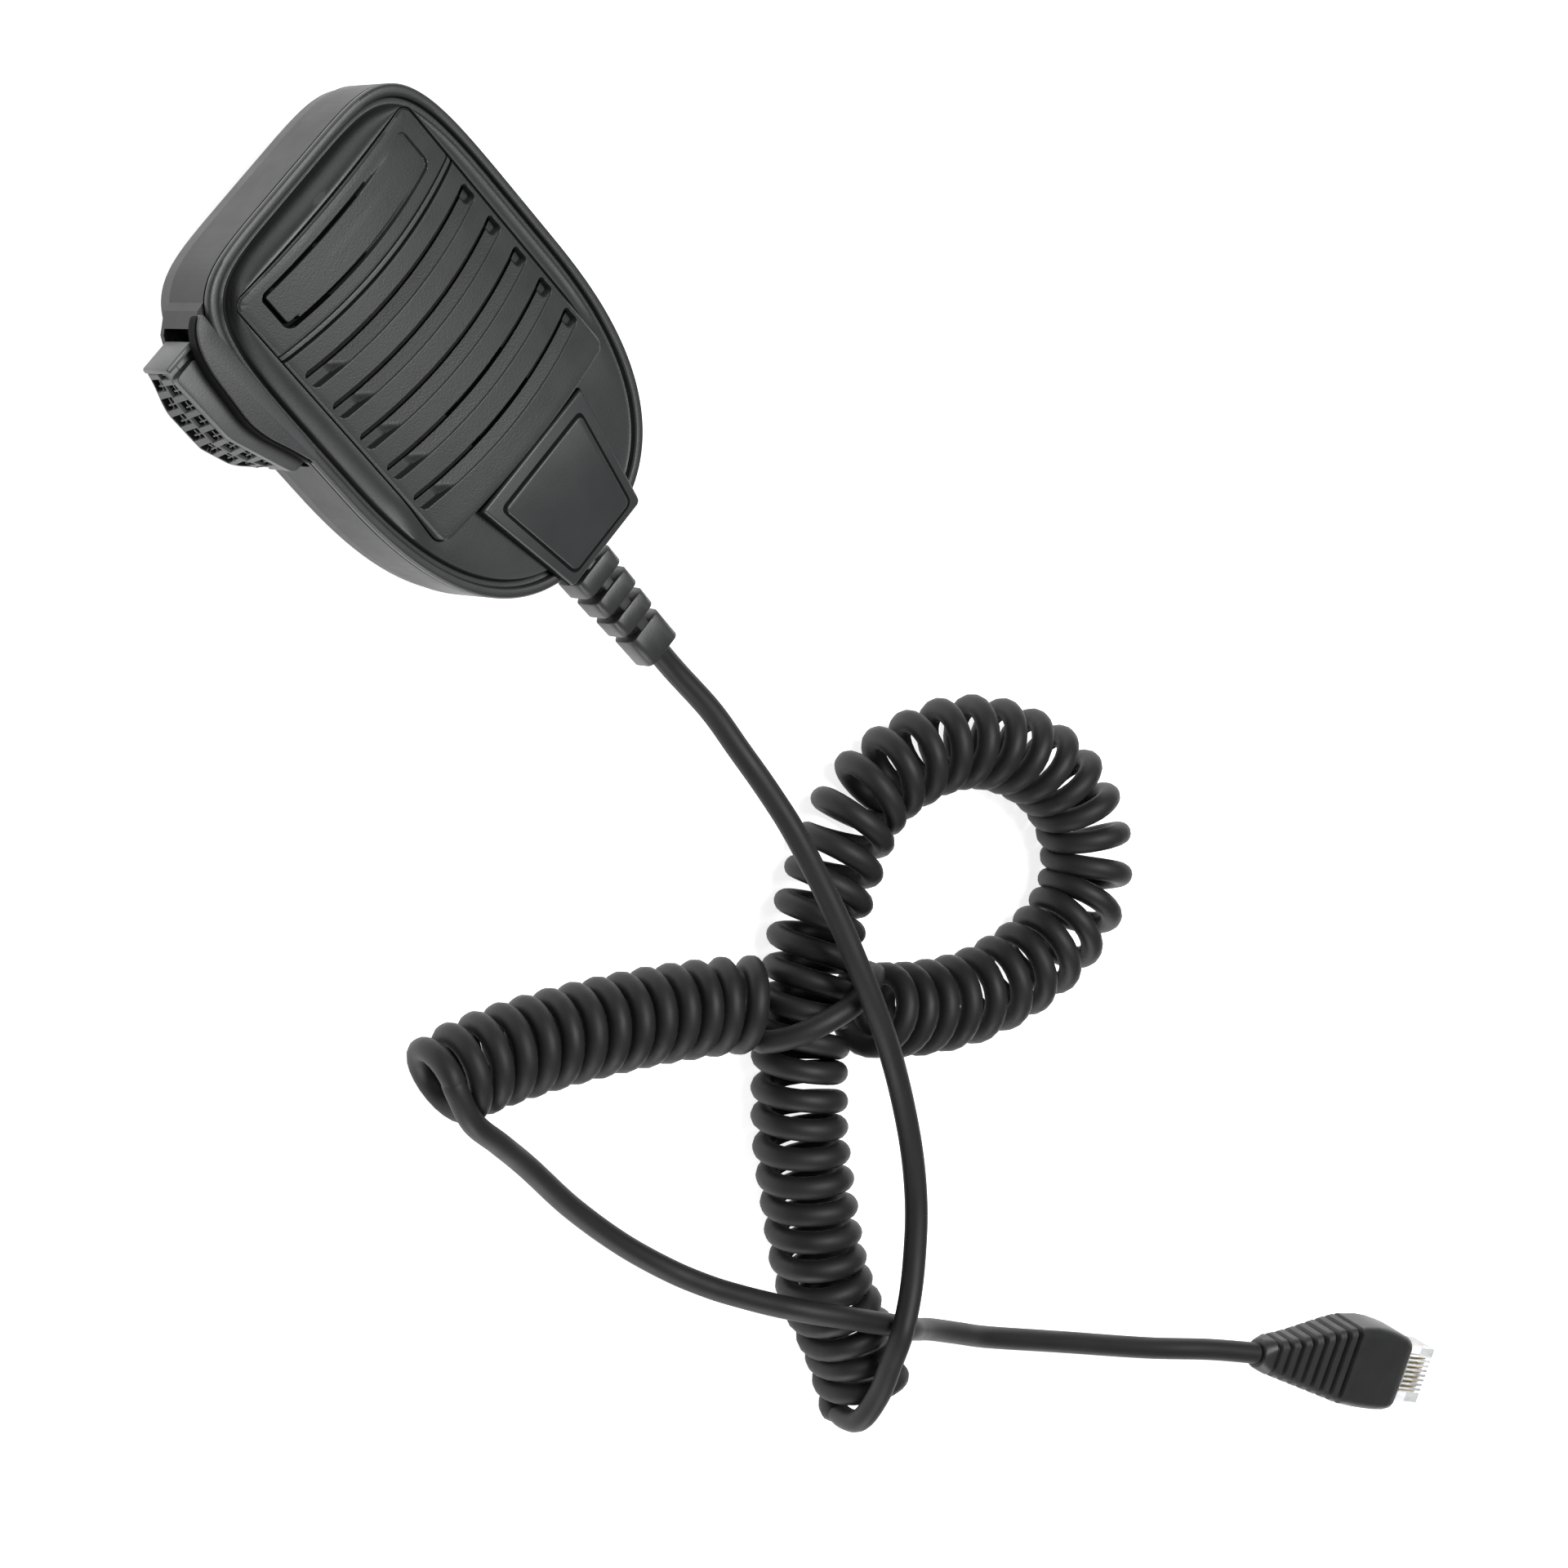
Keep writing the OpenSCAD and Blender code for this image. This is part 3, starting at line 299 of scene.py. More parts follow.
M = {
    "shell": material("shell_plastic", (0.019, 0.0198, 0.0205), 0.42, grain=0.5, grain_mm=0.3, blotch=0.06,
                      edge=1.2, crease_shade=0.8, rough_var=0.03),
    "panel": material("panel_plastic", (0.02, 0.0208, 0.0215), 0.46, grain=0.8, grain_mm=0.3, blotch=0.08,
                      edge=1.2, crease_shade=0.85, rough_var=0.04),
    # band_plastic is darker than the shell to paint in shade on the case's side wall, which the glowing floor
    # lightens.
    "band": material("band_plastic", (0.011, 0.0114, 0.012), 0.45, specular=0.3, grain=0.4, grain_mm=0.3,
                     blotch=0.05, rough_var=0.03),
    "rear": material("rear_plastic", (0.018, 0.0187, 0.0195), 0.45, grain=0.8, grain_mm=0.4, blotch=0.06,
                     rough_var=0.04),
    "nose": material("nose_plastic", (0.019, 0.02, 0.0206), 0.42, grain=0.4, grain_mm=0.25, blotch=0.05,
                     edge=1.0, crease_shade=0.7, rough_var=0.03),
    "lever": material("lever_plastic", (0.035, 0.036, 0.037), 0.42, grain=0.5, grain_mm=0.3, blotch=0.06,
                      edge=1.2, crease_shade=0.7, rough_var=0.03),
    # pad_rubber is lighter than the lever, with strong edge lightening: a painted reflection of the pale
    # floor on the grip's face and knobs.
    "pad": material("pad_rubber", (0.06, 0.061, 0.062), 0.5, grain=0.8, grain_mm=0.4, blotch=0.1,
                    edge=2.5, crease_shade=0.97, rough_var=0.05),
    "relief": material("relief_rubber", (0.014, 0.0143, 0.0147), 0.42, grain=0.6, grain_mm=0.4, blotch=0.1,
                       edge=1.5, crease_shade=0.8, rough_var=0.05),
    "cord": material("cord_jacket", (0.0085, 0.0085, 0.0089), 0.55, specular=0.33, grain=0.35, grain_mm=0.5,
                     blotch=0.12, blotch_mm=9, rough_var=0.05),
    "boot": material("boot_rubber", (0.012, 0.0123, 0.0128), 0.45, grain=0.6, grain_mm=0.4, blotch=0.1,
                     edge=0.8, crease_shade=0.8, rough_var=0.05),
    "steel": material("zinc_steel", (0.62, 0.62, 0.63), 0.3, grain=0.3, grain_mm=0.4, blotch=0.05,
                      metallic=1, rough_var=0.05, brushed=6),
    "nickel": material("nickel_plate", (0.74, 0.73, 0.71), 0.2, grain=0.15, grain_mm=0.5, blotch=0.04,
                       metallic=1, rough_var=0.05),
    "gold": material("gold_plate", (0.83, 0.62, 0.28), 0.25, grain=0.1, grain_mm=0.3, blotch=0.05,
                     metallic=1, rough_var=0.05),
    "copper": material("wire_insulation", (0.5, 0.12, 0.08), 0.4, grain=0.1, blotch=0.2, blotch_mm=3,
                       rough_var=0.05),
    "can": material("drawn_aluminium", (0.75, 0.75, 0.76), 0.32, grain=0.2, grain_mm=0.3, blotch=0.04,
                    metallic=1, rough_var=0.05),
    "cloth": material("acoustic_weave", (0.01, 0.01, 0.01), 0.9, grain=1.0, grain_mm=0.5, blotch=0.3,
                      blotch_mm=1, specular=0.2),
    "board": material("solder_mask", (0.02, 0.13, 0.06), 0.35, grain=0.2, grain_mm=0.6, blotch=0.15,
                      blotch_mm=4, rough_var=0.05),
    "chip": material("moulded_epoxy", (0.02, 0.02, 0.02), 0.6, grain=0.6, grain_mm=0.3, blotch=0.1,
                     rough_var=0.05),
    "nylon": material("nylon", (0.75, 0.72, 0.62), 0.5, grain=0.3, grain_mm=0.4, blotch=0.04, rough_var=0.05),
    "clear": material("clear_plastic", (0.78, 0.8, 0.81), 0.14, grain=0.1, grain_mm=1.5, blotch=0.03,
                      transmission=0.8, ior=1.49, rough_var=0.04),
    # slot_depth is near-black painted shade for faces deep in slits, grooves, pits and gaps, where shade
    # falls.
    "shade_black": material("slot_depth", (0.003, 0.003, 0.003), 0.7, grain=0.2, blotch=0.2, specular=0.1),
    "gasket": material("gasket_rubber", (0.014, 0.014, 0.014), 0.65, grain=0.5, grain_mm=0.5, blotch=0.1,
                       rough_var=0.05),
}


def finish_piece(obj, body, mat, slot, *replaced):
    """Gives a piece its look, its body and the nodes it stands for; slot is not used. Marked faces become
    dark.
    """
    # Marked faces get the second, near-black painted-shade material.
    second = any(q.material_index for q in obj.data.polygons)
    dark = [q.index for q in obj.data.polygons if q.material_index]
    obj.data.materials.clear()
    obj.data.materials.append(M[mat])
    if second:
        obj.data.materials.append(M["shade_black"])
        for index in dark:
            obj.data.polygons[index].material_index = 1
    if replaced:
        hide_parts(*replaced)
    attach(obj, body)
    return obj


# --- Cord ----------------------------------------------------------------------------
CORD_R = 2.1
HELIX_R = 6.7
MIC_ROUTE = [(0, -70.5, 12.8), (0, -76.5, 12.8), (-0.3, -86, 14), (-2, -94, 16),
    (-4, -102, 18.5), (-6.2, -110, 20.5), (-9, -118.5, 22), (-12.5, -128, 23.5),
    (-15.5, -135, 24.6), (-18.7, -143.5, 25), (-21.9, -152.5, 24.2), (-26, -162.5, 22.7),
    (-31, -171.5, 21.8), (-36.8, -179, 21.4), (-43.2, -184.3, 21.9), (-49.9, -188, 23.2),
    (-56.2, -190.6, 24.1), (-61, -194, 22.2), (-65.5, -197.7, 19.6), (-70, -200.7, 15.6)]
MAIN_AXIS = [(-64.4, -204.6, 8.8), (-61.6, -199.2, 8.8), (-59, -193.5, 8.8), (-57, -187, 8.8),
    (-55, -181.5, 8.8), (-52, -176, 8.8), (-49, -171.5, 8.8), (-45.5, -166.5, 8.8),
    (-42, -161.5, 8.8), (-38, -156.5, 8.8), (-34, -152.5, 8.8), (-30, -148.5, 8.8),
    (-25.5, -145, 8.8), (-21.5, -141.8, 8.8), (-16.5, -138.5, 8.8), (-12, -135.5, 8.8),
    (-6.5, -132.5, 8.8), (-0.5, -130, 8.8), (5, -128, 8.8), (9.5, -126.7, 8.8),
    (14, -126.2, 8.8), (20, -127.2, 8.8), (26.3, -129.7, 8.8), (32.8, -133.5, 8.8),
    (38.6, -139.3, 8.8), (43.4, -147.5, 8.8), (46, -157, 8.8), (45.5, -165, 8.8),
    (42.5, -172, 8.8), (37.5, -177, 8.8), (31.5, -179.3, 8.8), (25, -179.3, 8.8),
    (18.3, -178, 8.8), (12, -175.5, 8.8), (5.8, -172.3, 8.8), (0, -168, 8.8),
    (-5.4, -162.8, 9.3), (-10.5, -157, 10.5), (-15.2, -150.5, 12)]
BRIDGE_AXIS = [(-15.2, -150.5, 12), (-21.8, -141.6, 13.6), (-28.6, -132.7, 12)]
END_AXIS = [(-28.6, -132.7, 12), (-32.2, -128.8, 10.5), (-36.4, -124.7, 9.3), (-44, -117.5, 8.8),
    (-52, -110.5, 8.8), (-59.5, -104.3, 8.8), (-67, -98.7, 8.8), (-72.5, -95, 8.8),
    (-77, -92.5, 8.8), (-81.5, -90.6, 8.8)]
PLUG_ROUTE = [(-83, -97, 15), (-81.4, -105.5, 12.2), (-79.6, -115.2, 8.6),
    (-77.9, -129.9, 5), (-75.7, -143.5, 4), (-73.1, -154.5, 5.2), (-71, -161.2, 8.6),
    (-69, -165.8, 12), (-67.2, -169.4, 14.8), (-65.4, -172.6, 17.4), (-63.4, -176, 19.3),
    (-60.8, -180.3, 20.3), (-58.2, -185, 20.3), (-55.4, -190, 19.7), (-52.2, -196.4, 17.3),
    (-49.2, -202.2, 12.5), (-45.9, -208, 8.5), (-41, -217, 5), (-36.5, -225, 3),
    (-26, -241, 2.4), (-14, -259, 3.2), (-5.5, -270.2, 6), (0.6, -279, 8.4)]


def smooth(points, step=0.5):
    """Points on a Catmull-Rom curve through the route, evenly spaced."""
    p = np.array(points, float)
    p = np.vstack([2 * p[0] - p[1], p, 2 * p[-1] - p[-2]])
    out = []
    for i in range(1, len(p) - 2):
        n = max(4, int(np.linalg.norm(p[i + 1] - p[i]) * 4))
        for t in np.arange(n) / n:
            a, b, c, d = p[i - 1:i + 3]
            out.append(0.5 * (2 * b + (c - a) * t + (2 * a - 5 * b + 4 * c - d) * t * t
                              + (3 * b - a - 3 * c + d) * t ** 3))
    out.append(p[-2])
    return even(np.array(out), step)


def even(path, step):
    """The same open path with evenly spaced points."""
    s = np.concatenate([[0], np.cumsum(np.linalg.norm(np.diff(path, axis=0), axis=1))])
    n = max(2, int(round(s[-1] / step)))
    u = np.linspace(0, s[-1], n + 1)
    return np.stack([np.interp(u, s, path[:, k]) for k in range(3)], 1)


def coil(axis, first, last, pitches, steps=24):
    """Left-handed winding round the axis, from phase first to phase last in degrees.
    pitches are (share of length, pitch) pairs."""
    a = smooth(axis, 0.25)
    s = np.linspace(0, 1, len(a))
    length = np.linalg.norm(np.diff(a, axis=0), axis=1).sum()
    rate = 1 / np.interp(s, [q[0] for q in pitches], [q[1] for q in pitches])
    turns = np.concatenate([[0], np.cumsum((rate[1:] + rate[:-1]) / 2)]) * length / (len(a) - 1)
    part = ((first - last) / 360) % 1
    whole = max(0, round(turns[-1] - part))
    turns *= (whole + part) / turns[-1]
    t = np.linspace(0, turns[-1], int(turns[-1] * steps) + 1)
    c = np.stack([np.interp(t, turns, a[:, k]) for k in range(3)], 1)
    along = np.gradient(a, axis=0)
    along = np.stack([np.interp(t, turns, along[:, k]) for k in range(3)], 1)
    along /= np.linalg.norm(along, axis=1)[:, None]
    side = np.cross([0, 0, 1], along)
    side /= np.linalg.norm(side, axis=1)[:, None]
    up = np.cross(along, side)
    phi = np.radians(first - 360 * t)[:, None]
    return c + HELIX_R * (np.cos(phi) * side + np.sin(phi) * up)


def cord_path():
    """The whole cord from the strain relief to the plug, in millimetres."""
    main = coil(MAIN_AXIS, 10, 165, [(0, 5.2), (0.3, 5.2), (0.42, 6.3), (0.95, 6.3), (1, 5.6)])
    bridge = coil(BRIDGE_AXIS, 165, 15, [(0, 45), (1, 45)], steps=60)
    end = coil(END_AXIS, 15, 90, [(0, 5.1), (1, 4.75)])
    lead = smooth(MIC_ROUTE + [tuple(main[0]), tuple(main[4])], 0.5)[:-5]
    tail = smooth([tuple(end[-3]), tuple(end[-1])] + PLUG_ROUTE, 0.5)[3:]
    return np.vstack([lead, main[1:], bridge[1:], end[1:], tail])


def cord_curve(name, path):
    """The cord as a round curve."""
    curve = bpy.data.curves.new(name, "CURVE")
    curve.dimensions = "3D"
    spline = curve.splines.new("POLY")
    spline.points.add(len(path) - 1)
    for point, p in zip(spline.points, path):
        point.co = (p[0] * MM, p[1] * MM, p[2] * MM, 1)
    spline.use_smooth = True
    curve.bevel_depth = CORD_R * MM
    curve.bevel_resolution = 6
    curve.use_fill_caps = True
    curve.twist_mode = "MINIMUM"
    obj = bpy.data.objects.new(name, curve)
    bpy.context.scene.collection.objects.link(obj)
    return obj


cord_points = cord_path()
cord = cord_curve("curly_cord", cord_points)
cord.data.materials.append(M["cord"])
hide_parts("cord_lead_mic", "coil_main", "coil_bridge", "coil_end", "cord_lead_plug")
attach(cord, "case")

# --- Front shell ---------------------------------------------------------------------
def panel_z(x):
    return Z_CROWN - (Z_CROWN - Z_EDGE) * (x / (PANEL_W / 2)) ** 2


def panel_border(p, gap, radius=2.2):
    """Nearest point on the rounded panel outline, grown by gap."""
    cx, cy = 0, (PANEL_UP - PANEL_DOWN) / 2
    hx, hy = PANEL_W / 2 + gap - radius, (PANEL_UP + PANEL_DOWN) / 2 + gap - radius
    qx, qy = min(max(p[0] - cx, -hx), hx), min(max(p[1] - cy, -hy), hy)
    dx, dy = p[0] - cx - qx, p[1] - cy - qy
    d = math.hypot(dx, dy) or 1
    return cx + qx + dx / d * radius, cy + qy + dy / d * radius


def border_z(x, y):
    """Height of the sloped border where it meets the panel, lower at the ends."""
    z = panel_z(x) - 0.12
    z -= (z - 25.55) * ease((-7 - y) / 12)
    return z - (z - 27.4) * 0.3 * ease((y - 30) / 5)


SHOULDER = [(-26.2, 38.2), (-28.8, 36.6), (-30.7, 33.6), (-31.6, 30), (-32.5, 19.7), (-31.8, 15.7),
            (-30.1, 11.2), (-28.6, 6.4), (-27.3, 8), (-27.1, 20), (-26.7, 33)]


def shoulder_gap():
    """Near-black painted shade under the shoulder's edge, round the band's shelf."""
    edge = [(x - 0.35, y) for x, y in SHOULDER[:8]] + [(x + 0.3, y) for x, y in SHOULDER[8:]]
    return make("shoulder_gap", *prism(rounded_poly(edge, 2), 22.4, 24.5, 0.1, 1), smooth_angle=40)


def front_shell():
    count = 360
    rings = []

    def ring(inset, z):
        rings.append([(x, y, z) for x, y in even_closed(outline(inset), count)])

    # Seam, outer wall, rounded rim, groove
    for inset, z in ((3.6, Z_FRONT), (0.45, Z_FRONT), (0.15, 23.62), (0, 23.9), (0, 24.4), (0.1, 24.75),
                     (0.3, 25.0), (0.6, 25.1), (1.1, 25.12), (1.45, 25.05), (1.65, 24.85), (1.75, 24.3),
                     (1.85, 23.95), (2.2, 23.85), (2.6, 23.9), (2.85, 24.2), (2.95, 24.9), (3.1, Z_SLOPE)):
        ring(inset, z)
    inner = even_closed(outline(3.1), count)
    steps = 14
    for k in range(1, steps + 1):
        t = k / steps
        pts = []
        for x, y in inner:
            bx, by = panel_border((x, y), 0.35)
            z1 = border_z(bx, by)
            low = ease((-12 - by) / 6)
            shape = math.sin(t * math.pi / 2) ** (0.85 + 0.25 * low)
            pts.append((x + (bx - x) * t, y + (by - y) * t, Z_SLOPE + (z1 - Z_SLOPE) * shape))
        rings.append(pts)
    # Down into the panel's seat
    for gap, drop in ((0.22, 0.3), (0.15, 0.9), (0.15, 3.4)):
        pts = []
        for x, y in inner:
            bx, by = panel_border((x, y), gap)
            pts.append((bx, by, max(border_z(bx, by) - drop, Z_SEAT)))
        rings.append(pts)
    v, f = loft(rings, closed_ends=False)
    # Close the underside between the inner and the outer edge
    n = count
    last = (len(rings) - 1) * n
    for k in range(n):
        f.append((last + k, last + (k + 1) % n, (k + 1) % n, k))
    shell = joined([(v, f), prism(rounded_poly(SHOULDER, 2), 24.2, 25.14, 0.42, 4)])
    return make("front_case", *shell, smooth_angle=32)


def rounded_poly(poly, radius, steps=5):
    """The polygon with its corners rounded."""
    out = []
    n = len(poly)
    for i in range(n):
        a, b, c = (np.array(poly[(i + k) % n], float) for k in (-1, 0, 1))
        u, w = a - b, c - b
        lu, lw = np.linalg.norm(u), np.linalg.norm(w)
        r = min(radius, 0.45 * lu, 0.45 * lw)
        p, q = b + u / lu * r, b + w / lw * r
        for k in range(steps + 1):
            t = k / steps
            out.append(tuple((1 - t) ** 2 * p + 2 * t * (1 - t) * b + t * t * q))
    return out


# --- Grille panel --------------------------------------------------------------------
def mark_dark(obj, spots):
    """Second material slot, the near-black painted shade, for faces with two corners or more among the spots,
    in millimetres.
    """
    near = {tuple(round(c, 2) for c in p) for p in spots}
    dark = [tuple(round(c / MM, 2) for c in p.co) in near for p in obj.data.vertices]
    for q in obj.data.polygons:
        if sum(dark[k] for k in q.vertices) >= 2:
            q.material_index = 1


SLOTS = [16.0 - 7.0 * i for i in range(5)]
LABEL = (24.7, 33.3)
JOINT = 21.3


def slot_depth(x, dv):
    """Depth of a louvre at dv above its middle: a ramp, a pocket at each end and a slit along its top."""
    half_x, half_v, r = 21.5, 1.75, 1.1
    qx, qv = abs(x) - (half_x - r), abs(dv) - (half_v - r)
    sd = math.hypot(max(qx, 0), max(qv, 0)) + min(max(qx, qv), 0) - r
    if sd > 0:
        return 0.0
    inside = ease(-sd / 0.22)
    rise = min(max((dv + half_v) / (1.1 + half_v), 0), 1)
    depth = 0.12 + 1.6 * rise
    pocket = ease((-13.5 - x) / 4.5)
    depth = max(depth, pocket * 1.45 * ease((dv + half_v) / 0.45))
    tip = ease((x - 18.6) / 1.2)
    depth = max(depth, tip * 1.5 * ease((dv + half_v - (21.5 - x) * 0.25) / 0.6))
    if dv > 0.33:
        depth = max(depth, 2.1 if abs(x) > 19 else 2.6)
    return depth * inside


def label_depth(x, v):
    """Depth of the blank label's recess, with a groove round it that fades to the right."""
    half, r = 18.8, 1.6
    mid = (LABEL[0] + LABEL[1]) / 2
    hv = (LABEL[1] - LABEL[0]) / 2
    qx, qv = abs(x) - (half - r), abs(v - mid) - (hv - r)
    sd = math.hypot(max(qx, 0), max(qv, 0)) + min(max(qx, qv), 0) - r
    if sd > 0:
        return 0.0
    wide = 0.85 if (x < 0 and qx > -1.2) or (v > mid and qv > -1.2) else 0.4
    groove = 1.0 if -sd < wide else 0.36 + 0.64 * ease(1 - (-sd - wide) / 0.3)
    fade = ease((15 - x) / 16) * (1 if v > mid else 0.35 + 0.65 * ease((4 - x) / 14))
    return (0.55 + max(groove * 1.7 - 0.55, 0) * fade) * ease(-sd / 0.2)


def panel():
    """Grille panel as one closed height field. Its second material paints near-black shade into the deep
    slits and grooves.
    """
    xs = set(np.round(np.linspace(-22.4, 22.4, 113), 3))
    for lo, hi, step in ((-22.4, -16.8, 0.12), (17.4, 22.4, 0.12)):
        xs |= set(np.round(np.arange(lo, hi, step), 3))
    xs = sorted(xs)
    vs = set(np.round(np.linspace(-19, 35.5, 110), 3))
    for y in SLOTS:
        for d in (-1.97, -1.85, -1.75, -1.7, -1.62, -1.54, -1.4, -1.2, -0.9, -0.6, -0.3, 0, 0.3, 0.36, 0.6,
                  0.85, 1.2, 1.4, 1.53, 1.6, 1.68, 1.75, 1.85):
            vs.add(round(y + d, 3))
    for d in (-0.3, -0.2, -0.1, 0, 0.1, 0.2, 0.3):
        vs.add(round(JOINT + d, 3))
        vs.add(round(JOINT + 1.15 + d * 0.6, 3))
    for y in LABEL:
        vs |= set(np.round(np.arange(y - 1.8, y + 1.8, 0.12), 3))
    vs |= set(np.round(np.arange(-19, -18, 0.12), 3)) | set(np.round(np.arange(34.6, 35.5, 0.12), 3))
    vs = sorted(vs)
    keep_x = [xs[0]] + [b for a, b in zip(xs, xs[1:]) if b - a > 0.035]
    keep_v = [vs[0]] + [b for a, b in zip(vs, vs[1:]) if b - a > 0.035]
    nx, nv = len(keep_x), len(keep_v)
    verts, deep_shade = [], []
    hy0, hy1 = -PANEL_DOWN, PANEL_UP
    for v in keep_v:
        bend = ease((v + 19) / 4.5) * ease((35.5 - v) / 9)
        for x in keep_x:
            z = panel_z(x)
            cut = 0.0
            for y in SLOTS:
                if abs(v - y) < 2.1:
                    cut = slot_depth(x, v - y)
                    z -= cut
                    cut = max(cut - 0.45, 0)
            if LABEL[0] - 0.1 < v < LABEL[1] + 0.1:
                z -= label_depth(x, v)
                cut = label_depth(x, v) + 0.1
            if abs(v - JOINT) < 0.16:
                cut = 1.5
            # Points cut deeper than this are marked for the near-black painted shade.
            deep_shade.append(cut > 1.2)
            z -= 1.5 * ease((0.3 - abs(v - JOINT)) / 0.15)
            z -= 0.5 * ease((0.2 - abs(v - JOINT - 1.15)) / 0.12)
            # Rounded outer edge
            edge = min(22.4 - abs(x), v - hy0, hy1 - v)
            z -= 0.3 * (1 - ease(edge / 0.45)) + 0.06 * (1 - ease((edge - 0.2) / 1.2))
            # Rounded corners
            cx, cv = 22.4 - abs(x), min(v - hy0, hy1 - v)
            X, Y = x, v + bend * x * x / 300
            r = 1.8
            if cx < r and cv < r:
                sx = math.copysign(22.4 - r, x)
                sv = hy0 + r if v < 8 else hy1 - r
                ax, av = (r - cx) / r, (r - cv) / r
                m = max(ax, av)
                if m > 1e-6:
                    k = m / math.hypot(ax, av)
                    X = sx + math.copysign(ax * k * r, x)
                    Y = sv + (-1 if v < 8 else 1) * av * k * r
            verts.append((X, Y, z))
    faces = []
    for j in range(nv - 1):
        for i in range(nx - 1):
            a = j * nx + i
            faces.append((a, a + 1, a + nx + 1, a + nx))
    spots = {tuple(round(c, 4) for c in p) for p, d in zip(verts, deep_shade) if d}
    rim = [i for i in range(nx)] + [j * nx + nx - 1 for j in range(1, nv)] \
        + [(nv - 1) * nx + i for i in range(nx - 2, -1, -1)] + [j * nx for j in range(nv - 2, 0, -1)]
    base = len(verts)
    verts += [(verts[i][0], verts[i][1], Z_LEDGE + 0.02) for i in rim]
    m = len(rim)
    faces += [(rim[k], base + k, base + (k + 1) % m, rim[(k + 1) % m]) for k in range(m)]
    faces.append(tuple(base + k for k in range(m)))
    obj = make("grille", verts, faces, smooth_angle=38)
    mark_dark(obj, spots)
    return obj


# --- Nose block and plate ------------------------------------------------------------
def slope_prism(poly, z_low, heights, bevel, segments=3):
    """Prism whose top follows heights, one per point."""
    bm = bmesh.new()
    low = [bm.verts.new((x, y, z_low)) for x, y in poly]
    high = [bm.verts.new((x, y, z)) for (x, y), z in zip(poly, heights)]
    n = len(poly)
    bm.faces.new(low[::-1])
    top = bm.faces.new(high)
    for i in range(n):
        bm.faces.new((low[i], low[(i + 1) % n], high[(i + 1) % n], high[i]))
    bm.normal_update()
    edges = list(top.edges) + [e for e in bm.edges if e not in set(top.edges) and e.calc_face_angle(0) > 0.6
                               and abs(e.verts[0].co.z - e.verts[1].co.z) > 0.5]
    bmesh.ops.bevel(bm, geom=edges, offset=bevel, segments=segments, profile=0.5, affect="EDGES",
                    clamp_overlap=True)
    bm.verts.index_update()
    out = [tuple(x.co) for x in bm.verts], [tuple(x.index for x in q.verts) for q in bm.faces]
    bm.free()
    return out


def nose():
    """The block over the cord's exit, the seam round its cover, the cover and the gap under the block. The
    seam and the gap are near-black painted shade.
    """
    top, low = 27.75, 26.1
    outer = [(-13.7, -20.3), (13.7, -20.3), (9.7, -42.7), (8.9, -43.05), (-8.9, -43.05), (-9.7, -42.7)]
    groove = rounded_poly([(-11.3, -22.6), (11.3, -22.6), (8.2, -41.8), (-8.2, -41.8)], 1.5, 4)
    inner = rounded_poly([(-10.7, -23.2), (10.7, -23.2), (7.7, -41.3), (-7.7, -41.3)], 1.2, 4)

    def height(y, extra=0.0):
        return low + (top - low) * (y + 43) / 22.7 + extra

    block = slope_prism(outer, 23.6, [height(p[1]) for p in outer], 0.5)
    dark = slope_prism(groove, 24, [height(p[1], 0.04) for p in groove], 0.03, 1)
    plate = slope_prism(inner, 24.2, [height(p[1], 0.32) for p in inner], 0.28)
    skirt = slope_prism([(-13.95, -20.2), (13.95, -20.2), (9.95, -42.5), (-9.95, -42.5)], 23.8,
                        [height(-20.2, -0.55)] * 2 + [height(-42.5, -0.6)] * 2, 0.1, 1)
    k = make("nose_gap", *skirt, smooth_angle=35)
    b = make("nose_block", *block, smooth_angle=35)
    g = make("nose_seam", *dark, smooth_angle=35)
    p = make("nose_cover", *plate, smooth_angle=35)
    return b, g, p, k


# --- Push-to-talk lever --------------------------------------------------------------
def bar_edge():
    """Outer line of the smooth bar, which the grip below stands out from."""
    return [(-LEVER_OUT + LEVER_LEAN, LEVER_UP), (-LEVER_OUT + 2.3, LEVER_BEND + 0.6),
            (-LEVER_OUT + 5.1, LEVER_DOWN + 3.9), (-LEVER_IN - 1.6, LEVER_DOWN + 0.1)]


def lever_edge(inset=0.0):
    return [(-LEVER_OUT + LEVER_LEAN + inset, LEVER_UP), (-LEVER_OUT + inset, LEVER_BEND + 0.4),
            (-LEVER_OUT + 3.1 + inset, LEVER_DOWN + 4), (-LEVER_IN - 1.7 + inset, LEVER_DOWN + 0.2)]


